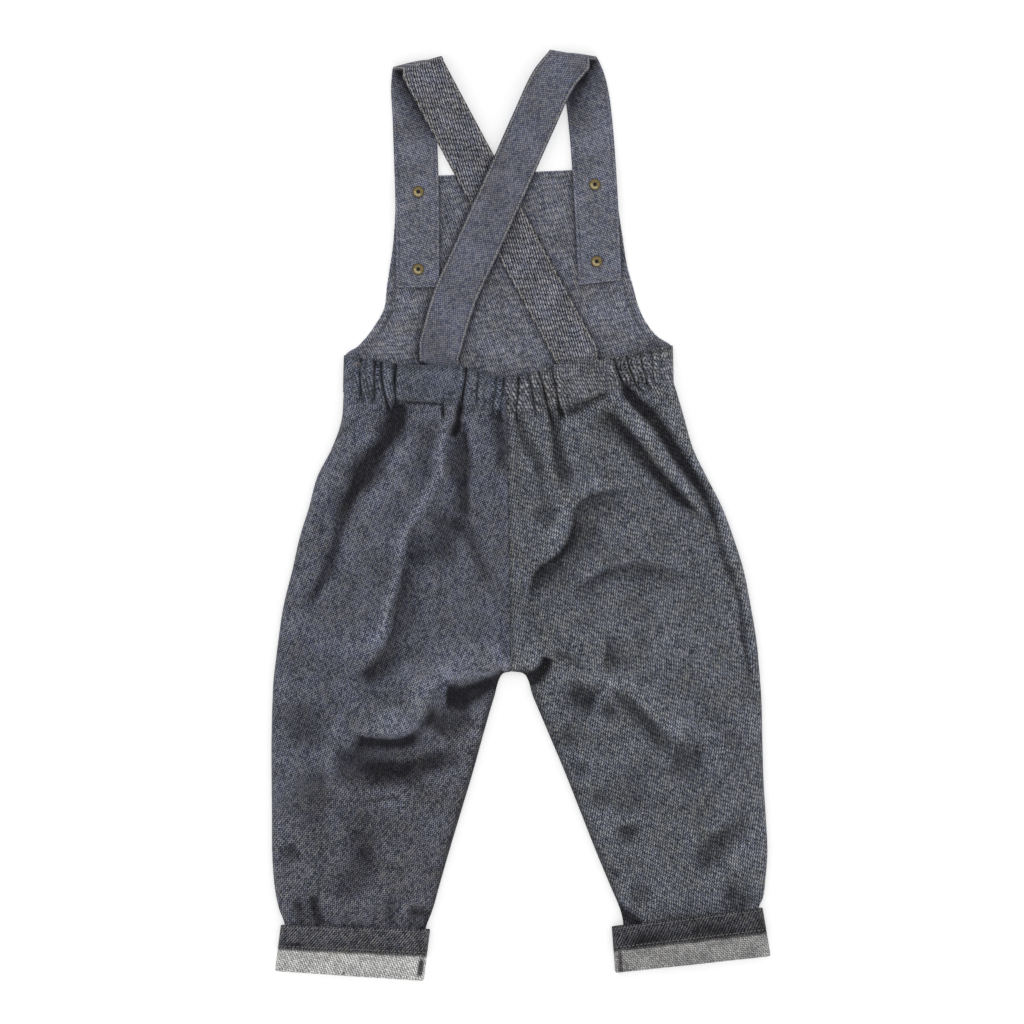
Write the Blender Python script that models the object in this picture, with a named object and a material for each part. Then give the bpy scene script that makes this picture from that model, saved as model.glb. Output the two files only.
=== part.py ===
"""A child's dungarees laid flat on their front, with the back and the bib's inside facing up.

Each piece that is cut and sewn is one closed solid. The tables and sizes are millimetres: +X runs to
the wearer's right, +Y towards the shoulders and +Z up from the surface that the garment lies on.
"""
import math
from typing import NamedTuple

import bmesh
import bpy
import numpy as np

MM = 0.001

# Cloth and the layers it makes when it lies flat
CLOTH = 1.0             # one layer of twill
HEMMED = 1.2            # the bib, with its hems pressed in
STRAP_THICK = 1.9       # a strap is a tube of cloth, pressed flat
CASING_THICK = 2.2      # two layers with the elastic between them
CUFF_WALL = 1.4         # a turned-up layer with its lining of hem
SEAM_GAP = 0.3          # pieces stop this far from each other
LAY_GAP = 0.45          # and a piece that lies loose on another keeps this

# How far the back stands above where it would lie dead flat
LOFT = 3.6              # over the legs
WAIST_LOFT = 2.0        # and this much more by the gathered waist
WAIST_REACH = 70.0
ROLL = 9.0              # the rounded edge at a side seam
CASING_STEP = 0.7       # the casing stands proud of the panel sewn to it
CUFF_FADE = 26.0        # a leg flattens over this length before it enters its cuff
CUFF_REACH = 20.0       # to each side of a cuff
CUFF_RISE = 0.12        # the share of its rise that the back keeps inside a cuff
FLAT_RISE = 0.8         # rounds off a trough that reaches the layer below
MOST_STRETCH = 2.0      # the steepest cloth is this much longer than its plan
SLOPE_STEP = 0.6        # heights this far to each side give the slope
GATHER_FADE = 0.35      # a gather dies out over this share of its length
FOLD_START, FOLD_END = 0.2, 0.25    # and a fold over these, at its ends
FOLD_CLEAR = 6.0        # a fold dies out this far to each side of the casing's foot
END_GATHER = 0.2        # the share of a gather's depth left over a strap's end

# Straps, cuffs and buttons
STRAP_WIDTH = 33.0
FOLD_RADIUS = 4.6       # of the strap where it turns over at the shoulder
STRAP_TUCK = 16.0       # how far its end reaches under the casing
LOOP_LEVEL = 1.6        # the middle of the strap's thickness where it lies on the ground
LIMB_CLIMB = 60.0       # and it climbs onto the bib over this length past the fold
STRAP_ROWS = 11.0       # spacing of its rows
FOLD_ROWS = (-10.0, 12.0, 13)       # before and past the fold, and how many there
FOLD_APART = (4.0, 6.0)     # the even rows stop this far from those, before and past
STRAP_COLUMNS = 5
CUFF_HEIGHT = 6.3
CUFF_CROWN = 1.2
BAND_STEP = 0.8         # the hem allowance that shows as a raised band
BAND_SHARE = 0.5        # of the cuff's height, at its top
LIP_DEPTH = 1.5         # the fold at the cuff's foot
CUFF_FLATS, CUFF_BENDS = 9, 5       # points along each flat side and round each end
BUTTON_CAP = (7.0, 2.3)     # radius and height of the cap on the bib's outer face
BUTTON_RING = (4.5, 1.0)    # radius and height of the back on the strap
BUTTON_EYE = (1.2, 0.6)     # radius and depth of the hollow in it
SHANK_RADIUS = 1.3
HOLE_RADIUS = 1.7
BUTTON_SIDES = 12
CUTTER_LENGTH = 30.0
LIFT_FLAT, LIFT_FADE = 9.0, 22.0    # the bib stands up on the caps this far around them


class Section(NamedTuple):
    """A line across a piece, from one edge of it to the other."""
    x0: float
    y0: float
    x1: float
    y1: float


class Fold(NamedTuple):
    """A ridge (height above 0) or a trough (below 0) along a line of points."""
    height: float
    width: float
    points: tuple


class Gather(NamedTuple):
    """A gathering fold: x at the casing's top, at its foot and at the fold's end."""
    top: float
    foot: float
    end: float
    run: float          # how far it runs below the casing
    depth: float
    width: float
    start: float = -8.0     # how far below the casing's top it starts


# Legs: side seam first, then the centre-back seam and, below the crotch, the inside leg
LEFT_LEG = (
    Section(-133.0, 92.0, -10.5, 76.0),
    Section(-134.5, 72.0, -10.5, 58.0),
    Section(-142.0, 50.0, -10.0, 38.0),
    Section(-153.0, 28.5, -9.5, 18.0),
    Section(-159.0, 6.0, -9.2, -4.0),
    Section(-165.9, -16.0, -8.8, -26.0),
    Section(-171.5, -41.0, -8.5, -50.0),
    Section(-178.3, -68.5, -8.0, -74.0),
    Section(-182.2, -95.0, -7.7, -98.0),
    Section(-185.0, -117.0, -7.4, -116.6),
    Section(-185.6, -123.0, -14.2, -118.6),
    Section(-186.4, -139.0, -20.8, -136.0),
    Section(-187.1, -165.0, -28.6, -162.5),
    Section(-187.1, -195.0, -36.9, -192.5),
    Section(-186.8, -225.0, -45.9, -222.5),
    Section(-186.6, -255.0, -55.0, -253.0),
    Section(-184.6, -280.0, -62.4, -279.0),
    Section(-181.5, -295.0, -66.5, -294.0),
    Section(-177.6, -307.5, -71.8, -309.6),
    Section(-181.4, -337.8, -77.0, -344.6),
)
RIGHT_LEG = (
    Section(113.3, 99.5, -10.5, 76.0),
    Section(121.0, 75.5, -10.5, 58.0),
    Section(128.4, 50.0, -10.0, 38.0),
    Section(139.0, 28.0, -9.5, 18.0),
    Section(150.0, 6.5, -9.2, -4.0),
    Section(158.8, -17.0, -8.8, -26.0),
    Section(166.3, -41.0, -8.5, -50.0),
    Section(171.8, -69.0, -8.0, -74.0),
    Section(176.0, -94.0, -7.5, -98.0),
    Section(178.2, -117.0, -7.4, -116.6),
    Section(178.6, -122.5, 2.0, -118.6),
    Section(179.7, -139.0, 9.2, -136.0),
    Section(180.3, -165.0, 20.4, -162.5),
    Section(181.1, -196.0, 33.0, -192.5),
    Section(182.9, -226.0, 44.8, -222.5),
    Section(184.2, -252.0, 56.6, -252.5),
    Section(182.6, -273.0, 67.2, -278.0),
    Section(181.1, -286.0, 73.4, -293.0),
    Section(177.8, -296.0, 76.4, -307.2),
    Section(183.2, -327.2, 74.0, -338.8),
)
CROTCH = 9              # the section at the foot of the centre-back seam
# The bib, from its top hem down its armholes to the waist seam
BIB = (
    Section(-93.4, 253.9, 70.9, 260.6),
    Section(-94.6, 229.0, 72.2, 235.0),
    Section(-96.4, 203.0, 76.0, 208.5),
    Section(-99.0, 185.0, 79.6, 186.0),
    Section(-101.0, 172.0, 83.8, 172.0),
    Section(-102.6, 157.5, 87.6, 157.5),
    Section(-105.6, 150.0, 91.0, 149.5),
    Section(-110.0, 142.8, 95.6, 142.0),
    Section(-116.0, 134.5, 101.4, 135.0),
    Section(-123.0, 127.0, 107.4, 131.0),
    Section(-132.2, 120.2, 112.2, 127.4),
    Section(-132.2, 107.0, 112.6, 114.0),
)
# The casing's edges, from the left side seam to the right one
CASING_TOP = (
    (-132.4, 120.4), (-105.0, 115.5), (-80.0, 112.9), (-48.0, 112.6), (-30.0, 107.5), (-12.0, 103.3),
    (6.0, 106.0), (26.0, 113.6), (60.0, 116.8), (88.0, 122.0), (112.7, 127.7))
CASING_FOOT = (
    (-133.0, 92.3), (-92.0, 85.2), (-59.0, 82.9), (-30.0, 78.4), (-10.5, 76.3), (12.0, 77.6),
    (29.0, 80.2), (46.0, 84.0), (68.0, 93.6), (90.0, 97.2), (113.3, 99.8))
GATHERS = (
    Gather(-120.4, -120.4, -121.5, 16.0, 3.5, 3.0),
    Gather(-115.0, -110.6, -112.0, 20.0, 2.9, 2.5),
    Gather(-104.6, -101.5, -104.0, 26.0, 3.2, 3.0),
    Gather(-93.7, -93.5, -97.0, 24.0, 5.2, 3.4),
    Gather(-57.9, -57.9, -58.5, 16.0, 4.1, 2.6, 12.0),
    Gather(-41.6, -44.2, -48.0, 34.0, 5.2, 3.2),
    Gather(-36.5, -38.0, -40.0, 12.0, 2.6, 2.2),
    Gather(-31.0, -32.5, -33.0, 14.0, 2.9, 2.4),
    Gather(-25.2, -26.0, -27.0, 10.0, 2.0, 2.2),
    Gather(-19.4, -19.4, -20.0, 44.0, 4.6, 2.8),
    Gather(-14.0, -13.9, -13.9, 22.0, 2.9, 1.8),
    Gather(-2.3, -2.5, 0.0, 32.0, 4.1, 2.2),
    Gather(3.7, 8.5, 12.0, 34.0, 4.1, 2.6),
    Gather(12.4, 18.9, 22.0, 32.0, 4.6, 2.8),
    Gather(20.5, 28.0, 33.0, 28.0, 4.2, 2.8),
    Gather(69.5, 78.0, 84.0, 26.0, 4.9, 3.0),
    Gather(79.0, 88.5, 95.0, 26.0, 4.1, 2.6),
    Gather(89.0, 93.5, 100.0, 18.0, 3.2, 2.2),
    Gather(98.0, 101.0, 103.0, 10.0, 2.3, 2.4),
)
# The casing lies flat over a strap's end: the ends' middle lines, and how wide
STRAP_ENDS = (((-62.0, 120.0), (-74.0, 84.0)), ((42.0, 120.0), (51.0, 84.0)))
END_FLAT, END_FADE = 11.0, 6.0

STEPS = 12              # along the spline between two sections
EDGE_COLUMNS = (SEAM_GAP / 2, 1.8, 5.0)     # from a panel's edge, before the even columns
EVEN_SPLINE = 6         # steps between two points of a fold or of the casing's edge
BENT_ROWS = 4           # a back leg's rows that follow the casing's foot
CASING_ROWS, CASING_COLUMNS = 4, 100

FOLDS = (
    # left leg: the long fold from the strap to the side seam, and those beside it
    Fold(-6.8, 8.5, ((-91, 92), (-108, 49), (-133, 17), (-142, -27), (-160, -68))),
    Fold(3.8, 10.0, ((-50, 92), (-61, 45), (-78, 0), (-100, -68), (-130, -122))),
    Fold(-6.2, 6.5, ((-44, 98), (-50, 60), (-51, 20), (-51, -20))),
    Fold(-3.5, 9.0, ((-84, -10), (-85, -69), (-104, -106), (-120, -125))),
    Fold(-4.1, 4.5, ((-19, 96), (-20, 60), (-22, 28))),
    # left leg: the folds that fan out from the crotch
    Fold(7.4, 8.5, ((-12, -113), (-60, -125), (-74, -142), (-90, -162), (-114, -165), (-142, -172))),
    Fold(-6.8, 6.5, ((-16, -125), (-42, -131), (-58, -137), (-66, -152), (-78, -163))),
    Fold(4.1, 6.0, ((-38, -160), (-52, -167), (-66, -174))),
    Fold(-6.8, 10.0, ((-46, -178), (-72, -190), (-104, -195), (-142, -204))),
    Fold(3.0, 13.0, ((-62, -222), (-100, -222), (-150, -222))),
    Fold(-3.5, 10.0, ((-112, -252), (-130, -282), (-146, -296))),
    Fold(-2.4, 13.0, ((-164, -146), (-162, -168), (-160, -192))),
    Fold(-2.0, 13.0, ((-154, -217), (-153, -238), (-155, -260))),
    # right leg: the two long folds to the side seam
    Fold(-7.0, 6.5, ((70, 116), (94, 81), (126, 38), (147, 4), (160, -46), (168, -90), (171, -124))),
    Fold(3.8, 6.0, ((70, 86), (99, 57), (117, 31), (128, 14))),
    Fold(-5.9, 6.0, ((54, 74), (76, 64), (99, 33), (126, 2))),
    Fold(-5.4, 7.0, ((80, 22), (54, 12), (38, -12), (18, -37), (9, -58), (6, -84))),
    Fold(-4.1, 6.0, ((114, -42), (84, -39), (50, -51), (22, -72))),
    Fold(3.2, 6.0, ((19, 62), (18, 22), (26, 13), (56, 19))),
    Fold(-4.3, 5.0, ((18, 96), (26, 56), (32, 20))),
    Fold(2.4, 4.0, ((6, 88), (11, 68), (16, 46))),
    # right leg: from the crotch to the knee
    Fold(4.3, 7.0, ((-10, -108), (5, -114), (18, -118))),
    Fold(-5.4, 5.5, ((4, -121), (14, -123), (26, -128))),
    Fold(-5.4, 7.5, ((22, -128), (52, -138), (88, -150), (112, -170), (144, -182))),
    Fold(3.5, 8.0, ((24, -112), (58, -122), (92, -132), (122, -150))),
    Fold(-3.0, 7.0, ((33, -166), (38, -182), (46, -194))),
    Fold(-3.8, 9.0, ((166, -230), (144, -244), (132, -260), (120, -270))),
    Fold(-2.7, 8.0, ((62, -262), (76, -268), (92, -262))),
    Fold(-2.2, 7.0, ((70, -96), (70, -112), (72, -122))),
)


class Strap(NamedTuple):
    """A strap's middle line: its run from the fold to the casing, and its limb from the fold down."""
    run: tuple
    limb: tuple
    heights: tuple      # (distance from the fold, height of the middle of the thickness) along the run


STRAPS = {
    "strap_left": Strap(
        ((-74.4, 335.4), (-56.2, 301.5), (-15.0, 225.0), (43.0, 117.4)),
        ((-80.4, 336.0), (-81.4, 320.0), (-80.3, 300.0), (-79.2, 268.0), (-78.2, 238.0), (-77.9, 171.3)),
        ((0, 10.8), (40, 7.4), (64, 4.9), (80, 3.3), (95, 2.65), (250, 2.65))),
    "strap_right": Strap(
        ((36.0, 341.4), (23.8, 326.0), (9.8, 296.6), (-9.6, 253.1), (-34.4, 198.4), (-49.9, 163.9),
         (-61.8, 124.0)),
        ((40.6, 342.0), (45.6, 330.0), (49.2, 315.0), (52.3, 289.0), (54.6, 258.0), (57.0, 215.0),
         (58.8, 175.0)),
        ((0, 10.8), (40, 9.4), (74, 7.3), (90, 6.4), (110, 5.7), (142, 5.3), (165, 6.3), (188, 7.2),
         (205, 6.6), (228, 3.9), (250, 2.65))),
}
BUTTONS = {
    "button_left_upper": (-77.4, 242.5),
    "button_left_lower": (-77.4, 184.5),
    "button_right_upper": (55.0, 248.0),
    "button_right_lower": (56.4, 190.3),
}
# Each cuff's corners in plan: top left, top right, foot left, foot right
CUFFS = {
    "cuff_left": ((-180.6, -307.2), (-68.4, -310.4), (-185.0, -341.6), (-73.2, -349.0)),
    "cuff_right": ((67.6, -308.4), (181.0, -294.2), (70.2, -343.0), (187.0, -330.4)),
}

# Colours: base colour, roughness and metallic
FINISHES = {
    "bib_twill": ((0.105, 0.109, 0.130), 0.90, 0.0),
    "leg_twill": ((0.073, 0.074, 0.092), 0.90, 0.0),
    "casing_twill": ((0.078, 0.080, 0.098), 0.90, 0.0),
    "strap_twill": ((0.127, 0.130, 0.159), 0.90, 0.0),
    "cuff_twill": ((0.270, 0.275, 0.270), 0.92, 0.0),
    "button_brass": ((0.240, 0.180, 0.080), 0.45, 1.0),
}


def smooth(t):
    t = np.clip(t, 0.0, 1.0)
    return t * t * (3.0 - 2.0 * t)


def curve(points, per_span):
    """A centripetal spline through the points, with per_span steps from each to the next."""
    p = np.array(points, float)
    p = np.vstack([2.0 * p[0] - p[1], p, 2.0 * p[-1] - p[-2]])
    steps = np.arange(per_span)[:, None] / per_span
    out = []
    for a, b, c, d in zip(p[:-3], p[1:-2], p[2:-1], p[3:]):
        k0 = 0.0
        k1 = k0 + math.sqrt(np.linalg.norm(b - a)) + 1e-6
        k2 = k1 + math.sqrt(np.linalg.norm(c - b)) + 1e-6
        k3 = k2 + math.sqrt(np.linalg.norm(d - c)) + 1e-6
        k = k1 + (k2 - k1) * steps
        ab = a + (b - a) * (k - k0) / (k1 - k0)
        bc = b + (c - b) * (k - k1) / (k2 - k1)
        cd = c + (d - c) * (k - k2) / (k3 - k2)
        abc = ab + (bc - ab) * (k - k0) / (k2 - k0)
        bcd = bc + (cd - bc) * (k - k1) / (k3 - k1)
        out.append(abc + (bcd - abc) * (k - k1) / (k2 - k1))
    return np.vstack(out + [p[-2:-1]])


def edge_curve(points, per_span):
    """A piece's edge: a leg's has a corner at the crotch, where the seam meets the inside leg."""
    if len(points) <= CROTCH + 1 or points[0][1] > BIB[-1].y1:
        return curve(points, per_span)
    return np.vstack([curve(points[:CROTCH + 1], per_span)[:-1], curve(points[CROTCH:], per_span)])


def distance_to(path, x, y):
    """Each point's distance to a path, and how far along it the nearest place is, from 0 to 1."""
    a, b = path[:-1], path[1:]
    along = b - a
    length = np.maximum((along ** 2).sum(1), 1e-9)
    px = x[:, None] - a[None, :, 0]
    py = y[:, None] - a[None, :, 1]
    t = np.clip((px * along[:, 0] + py * along[:, 1]) / length, 0.0, 1.0)
    gap = np.hypot(px - t * along[:, 0], py - t * along[:, 1])
    nearest = gap.argmin(1)
    rows = np.arange(len(x))
    return gap[rows, nearest], (nearest + t[rows, nearest]) / len(a)


def gather_fold(gather):
    """A gather is a trough from just above the casing's top, down through it and into the leg."""
    foot = float(line_y(CASING_FOOT, gather.foot))
    top = float(line_y(CASING_TOP, gather.top))
    points = ((gather.top, top - gather.start), (gather.foot, foot), (gather.end, foot - gather.run))
    return Fold(-gather.depth, gather.width, points)


def line_y(table, x):
    points = curve(table, EVEN_SPLINE)
    return np.interp(x, points[:, 0], points[:, 1])


ALL_FOLDS = [(fold, curve(fold.points, EVEN_SPLINE)) for fold in FOLDS]
ALL_GATHERS = [(fold, curve(fold.points, EVEN_SPLINE)) for fold in map(gather_fold, GATHERS)]
LEGS = {"left": LEFT_LEG, "right": RIGHT_LEG}
# The edges at which the back is rounded: side seams, inside legs, the crotch and the casing's ends
OUTLINE = [np.array([table[CROTCH + 1][2:] for table in LEGS.values()])]
for leg, corner in zip(LEGS.values(), (CASING_TOP[0], CASING_TOP[-1])):
    OUTLINE += [curve([s[:2] for s in leg], EVEN_SPLINE), np.array([leg[0][:2], corner]),
                curve([s[2:] for s in leg[CROTCH + 1:]], EVEN_SPLINE)]


def cuff_fade(x, y):
    """1 clear of the cuffs, falling to 0 where a leg enters its cuff."""
    out = np.ones(len(x))
    for top_left, top_right, *_ in CUFFS.values():
        along = np.subtract(top_right, top_left)
        above = (y - top_left[1]) - (x - top_left[0]) * along[1] / along[0]
        near = (x > top_left[0] - CUFF_REACH) & (x < top_right[0] + CUFF_REACH)
        out = np.where(near, smooth(above / CUFF_FADE), out)
    return out


def front_under(x, y):
    """The front leg's underside rises to pass over the cuff's lower wall."""
    return (CUFF_WALL + SEAM_GAP) * (1.0 - cuff_fade(x, y))


def back_rest(x, y):
    """Where the back's underside would lie if it lay dead flat on the front."""
    return front_under(x, y) + CLOTH + SEAM_GAP


def back_rise(x, y):
    """How far the back stands above that: its loft, its rounded edges, gathers and folds."""
    edge = np.min([distance_to(path, x, y)[0] for path in OUTLINE], axis=0)
    roll = np.sqrt(np.clip(1.0 - (1.0 - np.minimum(edge / ROLL, 1.0)) ** 2, 0.0, 1.0))
    waist = smooth(1.0 - (line_y(CASING_FOOT, x) - y) / WAIST_REACH)
    rise = LOFT + WAIST_LOFT * waist
    gap = np.min([distance_to(np.array(line), x, y)[0] for line in STRAP_ENDS], axis=0)
    gathered = END_GATHER + (1.0 - END_GATHER) * smooth((gap - END_FLAT) / END_FADE)
    for fold, path in ALL_GATHERS:
        gap, along = distance_to(path, x, y)
        taper = smooth((1.0 - along) / GATHER_FADE)
        rise = rise + gathered * fold.height * np.exp(-(gap / fold.width) ** 2) * taper
    below_casing = smooth((line_y(CASING_FOOT, x) - y) / (2 * FOLD_CLEAR) + 0.5)
    for fold, path in ALL_FOLDS:
        gap, along = distance_to(path, x, y)
        taper = smooth(along / FOLD_START) * smooth((1.0 - along) / FOLD_END)
        rise = rise + fold.height * np.exp(-(gap / fold.width) ** 2) * taper * below_casing
    rise = 0.5 * (rise + np.sqrt(rise ** 2 + FLAT_RISE))
    return rise * roll * (CUFF_RISE + (1.0 - CUFF_RISE) * cuff_fade(x, y))


def steepness(height, x, y):
    """The length of one unit of cloth over its plan, from the height's slope."""
    gx = (height(x + SLOPE_STEP, y) - height(x - SLOPE_STEP, y)) / (2 * SLOPE_STEP)
    gy = (height(x, y + SLOPE_STEP) - height(x, y - SLOPE_STEP)) / (2 * SLOPE_STEP)
    return np.minimum(np.sqrt(1.0 + gx ** 2 + gy ** 2), MOST_STRETCH)


def back_top(x, y):
    return back_rest(x, y) + CLOTH + back_rise(x, y)


def back_under(x, y):
    return np.maximum(back_top(x, y) - CLOTH * steepness(back_top, x, y), back_rest(x, y))


def casing_top(x, y):
    return back_top(x, y) + CASING_STEP


def casing_under(x, y):
    return np.maximum(casing_top(x, y) - CASING_THICK * steepness(back_top, x, y), back_rest(x, y) + SEAM_GAP)


def front_top(x, y):
    return front_under(x, y) + CLOTH


def bib_lift(x, y):
    """The bib stands on its button caps: a flat-topped rise under each strap's end."""
    lift = np.zeros(len(x))
    for side in ("left", "right"):
        pair = np.array([BUTTONS["button_%s_upper" % side], BUTTONS["button_%s_lower" % side]])
        gap, _ = distance_to(pair, x, y)
        lift = np.maximum(lift, 1.0 - smooth((gap - LIFT_FLAT) / LIFT_FADE))
    return lift * (BUTTON_CAP[1] + SEAM_GAP)


def bib_top(x, y):
    return bib_lift(x, y) + HEMMED


def section_rows(table, spacing, columns, edge=EDGE_COLUMNS):
    """Rows of points across a piece, by functions of y for the rows' spacing and the columns'."""
    ends = [edge_curve([s[:2] for s in table], STEPS), edge_curve([s[2:] for s in table], STEPS)]
    if ends[0][0, 0] > ends[1][0, 0]:
        ends.reverse()
    rows = []
    for first in range(0, STEPS * (len(table) - 1), STEPS):
        height = np.mean([np.abs(side[first] - side[first + STEPS]).sum() for side in ends])
        middle = (ends[0][first, 1] + ends[1][first + STEPS, 1]) / 2
        pieces = int(np.clip(round(height / spacing(middle)), 1, STEPS))
        rows += [first + round(STEPS * k / pieces) for k in range(pieces)]
    out = []
    for index in rows + [STEPS * (len(table) - 1)]:
        a, b = ends[0][index], ends[1][index]
        shares = across(np.linalg.norm(b - a), columns((a[1] + b[1]) / 2), edge)
        out.append(a + (b - a) * shares[:, None])
    return out


def across(length, spacing, edge):
    """Places across a row, as shares of it: those by its edges, and even steps between them."""
    edge = np.array(edge)
    count = max(2, round((length - 2 * EDGE_COLUMNS[-1]) / spacing) + 1)
    middle = np.linspace(edge[-1], length - edge[-1], count)
    return np.concatenate([edge[:-1], middle, length - edge[:-1][::-1]]) / length


def fractions(row):
    steps = np.concatenate([[0.0], np.cumsum(np.linalg.norm(np.diff(row[:, :2], axis=0), axis=1))])
    return steps / steps[-1]


def stitch_rows(bm, upper, lower, facing_up):
    """Triangles between two rows of points that may differ in number."""
    (verts_a, at_a), (verts_b, at_b) = upper, lower
    i = j = 0
    while i < len(verts_a) - 1 or j < len(verts_b) - 1:
        take_a = j == len(verts_b) - 1 or (i < len(verts_a) - 1 and at_a[i + 1] <= at_b[j + 1])
        tip = verts_a[i + 1] if take_a else verts_b[j + 1]
        corners = (verts_a[i], verts_b[j], tip)
        bm.faces.new(corners if facing_up else corners[::-1])
        i, j = (i + 1, j) if take_a else (i, j + 1)


def add_object(name, bm, finish):
    bmesh.ops.recalc_face_normals(bm, faces=bm.faces)
    mesh = bpy.data.meshes.new(name)
    bm.to_mesh(mesh)
    bm.free()
    mesh.shade_smooth()
    mesh.set_sharp_from_angle(angle=math.radians(50))
    colour, roughness, metallic = FINISHES[finish]
    material = bpy.data.materials.get(finish) or bpy.data.materials.new(finish)
    material.use_nodes = True
    shader = material.node_tree.nodes["Principled BSDF"]
    shader.inputs["Base Color"].default_value = (*colour, 1.0)
    shader.inputs["Roughness"].default_value = roughness
    shader.inputs["Metallic"].default_value = metallic
    mesh.materials.append(material)
    obj = bpy.data.objects.new(name, mesh)
    bpy.context.collection.objects.link(obj)
    return obj


def close_wall(bm, tops, unders):
    """Join the upper and lower rows of a wall into one closed body."""
    for a, b in zip(range(len(tops) - 1), range(1, len(tops))):
        stitch_rows(bm, tops[a], tops[b], True)
        stitch_rows(bm, unders[a], unders[b], False)
        for end in (0, -1):
            bm.faces.new((tops[a][0][end], tops[b][0][end], unders[b][0][end], unders[a][0][end]))
    for row in (0, -1):
        top, under = tops[row][0], unders[row][0]
        for k in range(len(top) - 1):
            bm.faces.new((top[k], top[k + 1], under[k + 1], under[k]))


def panel(name, rows, top, under, finish):
    """A wall of cloth between two heights over its plan."""
    bm = bmesh.new()
    tops, unders = [], []
    for row in rows:
        x, y = row[:, 0], row[:, 1]
        at = fractions(row)
        for side, height in ((tops, top(x, y)), (unders, under(x, y))):
            side.append(([bm.verts.new((px * MM, py * MM, pz * MM)) for px, py, pz in zip(x, y, height)], at))
    close_wall(bm, tops, unders)
    return add_object(name, bm, finish)


def leg_rows(table, spacing, columns):
    """A leg's rows, the first ones bent to follow the casing's foot."""
    rows = section_rows(table, spacing, columns)
    (x0, y0), (x1, y1) = rows[0][0], rows[0][-1]
    for index, row in enumerate(rows[:BENT_ROWS]):
        straight = y0 + (y1 - y0) * (row[:, 0] - x0) / (x1 - x0)
        bend = line_y(CASING_FOOT, row[:, 0]) - SEAM_GAP - straight
        row[:, 1] += bend * (1.0 - index / BENT_ROWS) ** 2
    return rows


def make_legs():
    def row_spacing(y):
        return 8.0 if y > 30.0 else 14.0

    def column_spacing(y):
        return 3.1 if y > 52.0 else 4.6 if y > 0.0 else 8.0 if y > -175.0 else 12.0

    for side, table in LEGS.items():
        rows = leg_rows(table, row_spacing, column_spacing)
        panel("back_leg_" + side, rows, back_top, back_under, "leg_twill")
        ends = np.array([BIB[-1].x0 if side == "left" else BIB[-1].x1, table[0].x1])
        seam = np.interp(ends, (BIB[-1].x0, BIB[-1].x1), (BIB[-1].y0, BIB[-1].y1)) - SEAM_GAP
        front = (Section(ends[0], seam[0], ends[1], seam[1]),) + table[1:]
        rows = section_rows(front, lambda y: 24.0 if y > -270.0 else 12.0, lambda y: 26.0, (0.9,))
        panel("front_leg_" + side, rows, front_top, front_under, "leg_twill")


def make_bib():
    def row_spacing(y):
        return 9.0 if y > 165.0 else 16.0

    rows = section_rows(BIB, row_spacing, lambda y: 8.5 if y > 165.0 else 16.0, (SEAM_GAP / 2,))
    return panel("front_bib", rows, bib_top, bib_lift, "bib_twill")


def make_casing():
    rows = []
    for share in np.linspace(0.0, 1.0, CASING_ROWS):
        ends = [CASING_TOP[k][0] * (1 - share) + CASING_FOOT[k][0] * share for k in (0, -1)]
        x = np.linspace(*ends, CASING_COLUMNS)
        rows.append(np.stack([x, line_y(CASING_TOP, x) * (1 - share) + line_y(CASING_FOOT, x) * share], 1))
    panel("back_waist_casing", rows, casing_top, casing_under, "casing_twill")


def unit(vector):
    return np.array(vector, float) / np.linalg.norm(vector)


def strap_rows(strap):
    """The strap's rows as points of its middle layer, with the direction that faces outwards.

    The strap is a flat strip that turns over a cylinder at the shoulder, so it keeps its length. Past
    the fold it comes back mirrored in the fold's line, one diameter lower.
    """
    fold, end = np.array(strap.run[0], float), np.array(strap.run[-1], float)
    up = unit(fold - end)
    normal = unit(up - unit(np.subtract(strap.limb[-1], strap.limb[0])))
    sideways = np.array([up[1], -up[0]])
    turn = math.pi * FOLD_RADIUS
    run_length = np.linalg.norm(fold - end) + STRAP_TUCK
    limb_length = np.linalg.norm(fold - strap.limb[-1]) + turn
    before, past_fold, count = FOLD_ROWS
    stations = np.concatenate([
        np.linspace(-run_length, before - FOLD_APART[0], int(run_length / STRAP_ROWS)),
        np.linspace(before, turn + past_fold, count),
        np.linspace(turn + past_fold + FOLD_APART[1], limb_length, int(limb_length / STRAP_ROWS))])
    widths = np.linspace(-0.5, 0.5, STRAP_COLUMNS) * STRAP_WIDTH
    rows = []
    for s in stations:
        middle = fold + up * s
        centre_q = float((middle - fold) @ normal)
        centre, _ = fold_over(middle[None], np.array([centre_q]), normal)
        table = curve(strap.run if s < turn / 2 else strap.limb, EVEN_SPLINE)
        drift = np.interp(-centre[0, 1], -table[:, 1], table[:, 0]) - centre[0, 0]
        plan = middle + sideways * widths[:, None]
        q = (plan - fold) @ normal
        flat, angle = fold_over(plan, q, normal)
        flat[:, 0] += drift
        distances, heights = np.array(strap.heights, float).T
        past = np.maximum(q - turn, 0.0)
        top = np.interp(-q, distances, heights)
        low = LOOP_LEVEL + (limb_height(flat[:, 0], flat[:, 1]) - LOOP_LEVEL) * smooth(past / LIMB_CLIMB)
        z = low + (top - low) * 0.5 * (1.0 + np.cos(angle))
        outward = np.stack([normal[0] * np.sin(angle), normal[1] * np.sin(angle), np.cos(angle)], 1)
        rows.append((np.column_stack([flat, z]), outward))
    return rows


def fold_over(plan, q, normal):
    """Plan positions turned over the fold's cylinder, and how far round it each has gone."""
    angle = np.clip(q / FOLD_RADIUS, 0.0, math.pi)
    past = np.maximum(q - math.pi * FOLD_RADIUS, 0.0)
    shift = np.where(q > 0, -q + FOLD_RADIUS * np.sin(angle) - past, 0.0)
    return plan + normal * shift[:, None], angle


def limb_height(x, y):
    """The middle of the strap's thickness where it lies on the bib's inside."""
    return bib_top(x, y) + LAY_GAP + STRAP_THICK / 2


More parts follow.
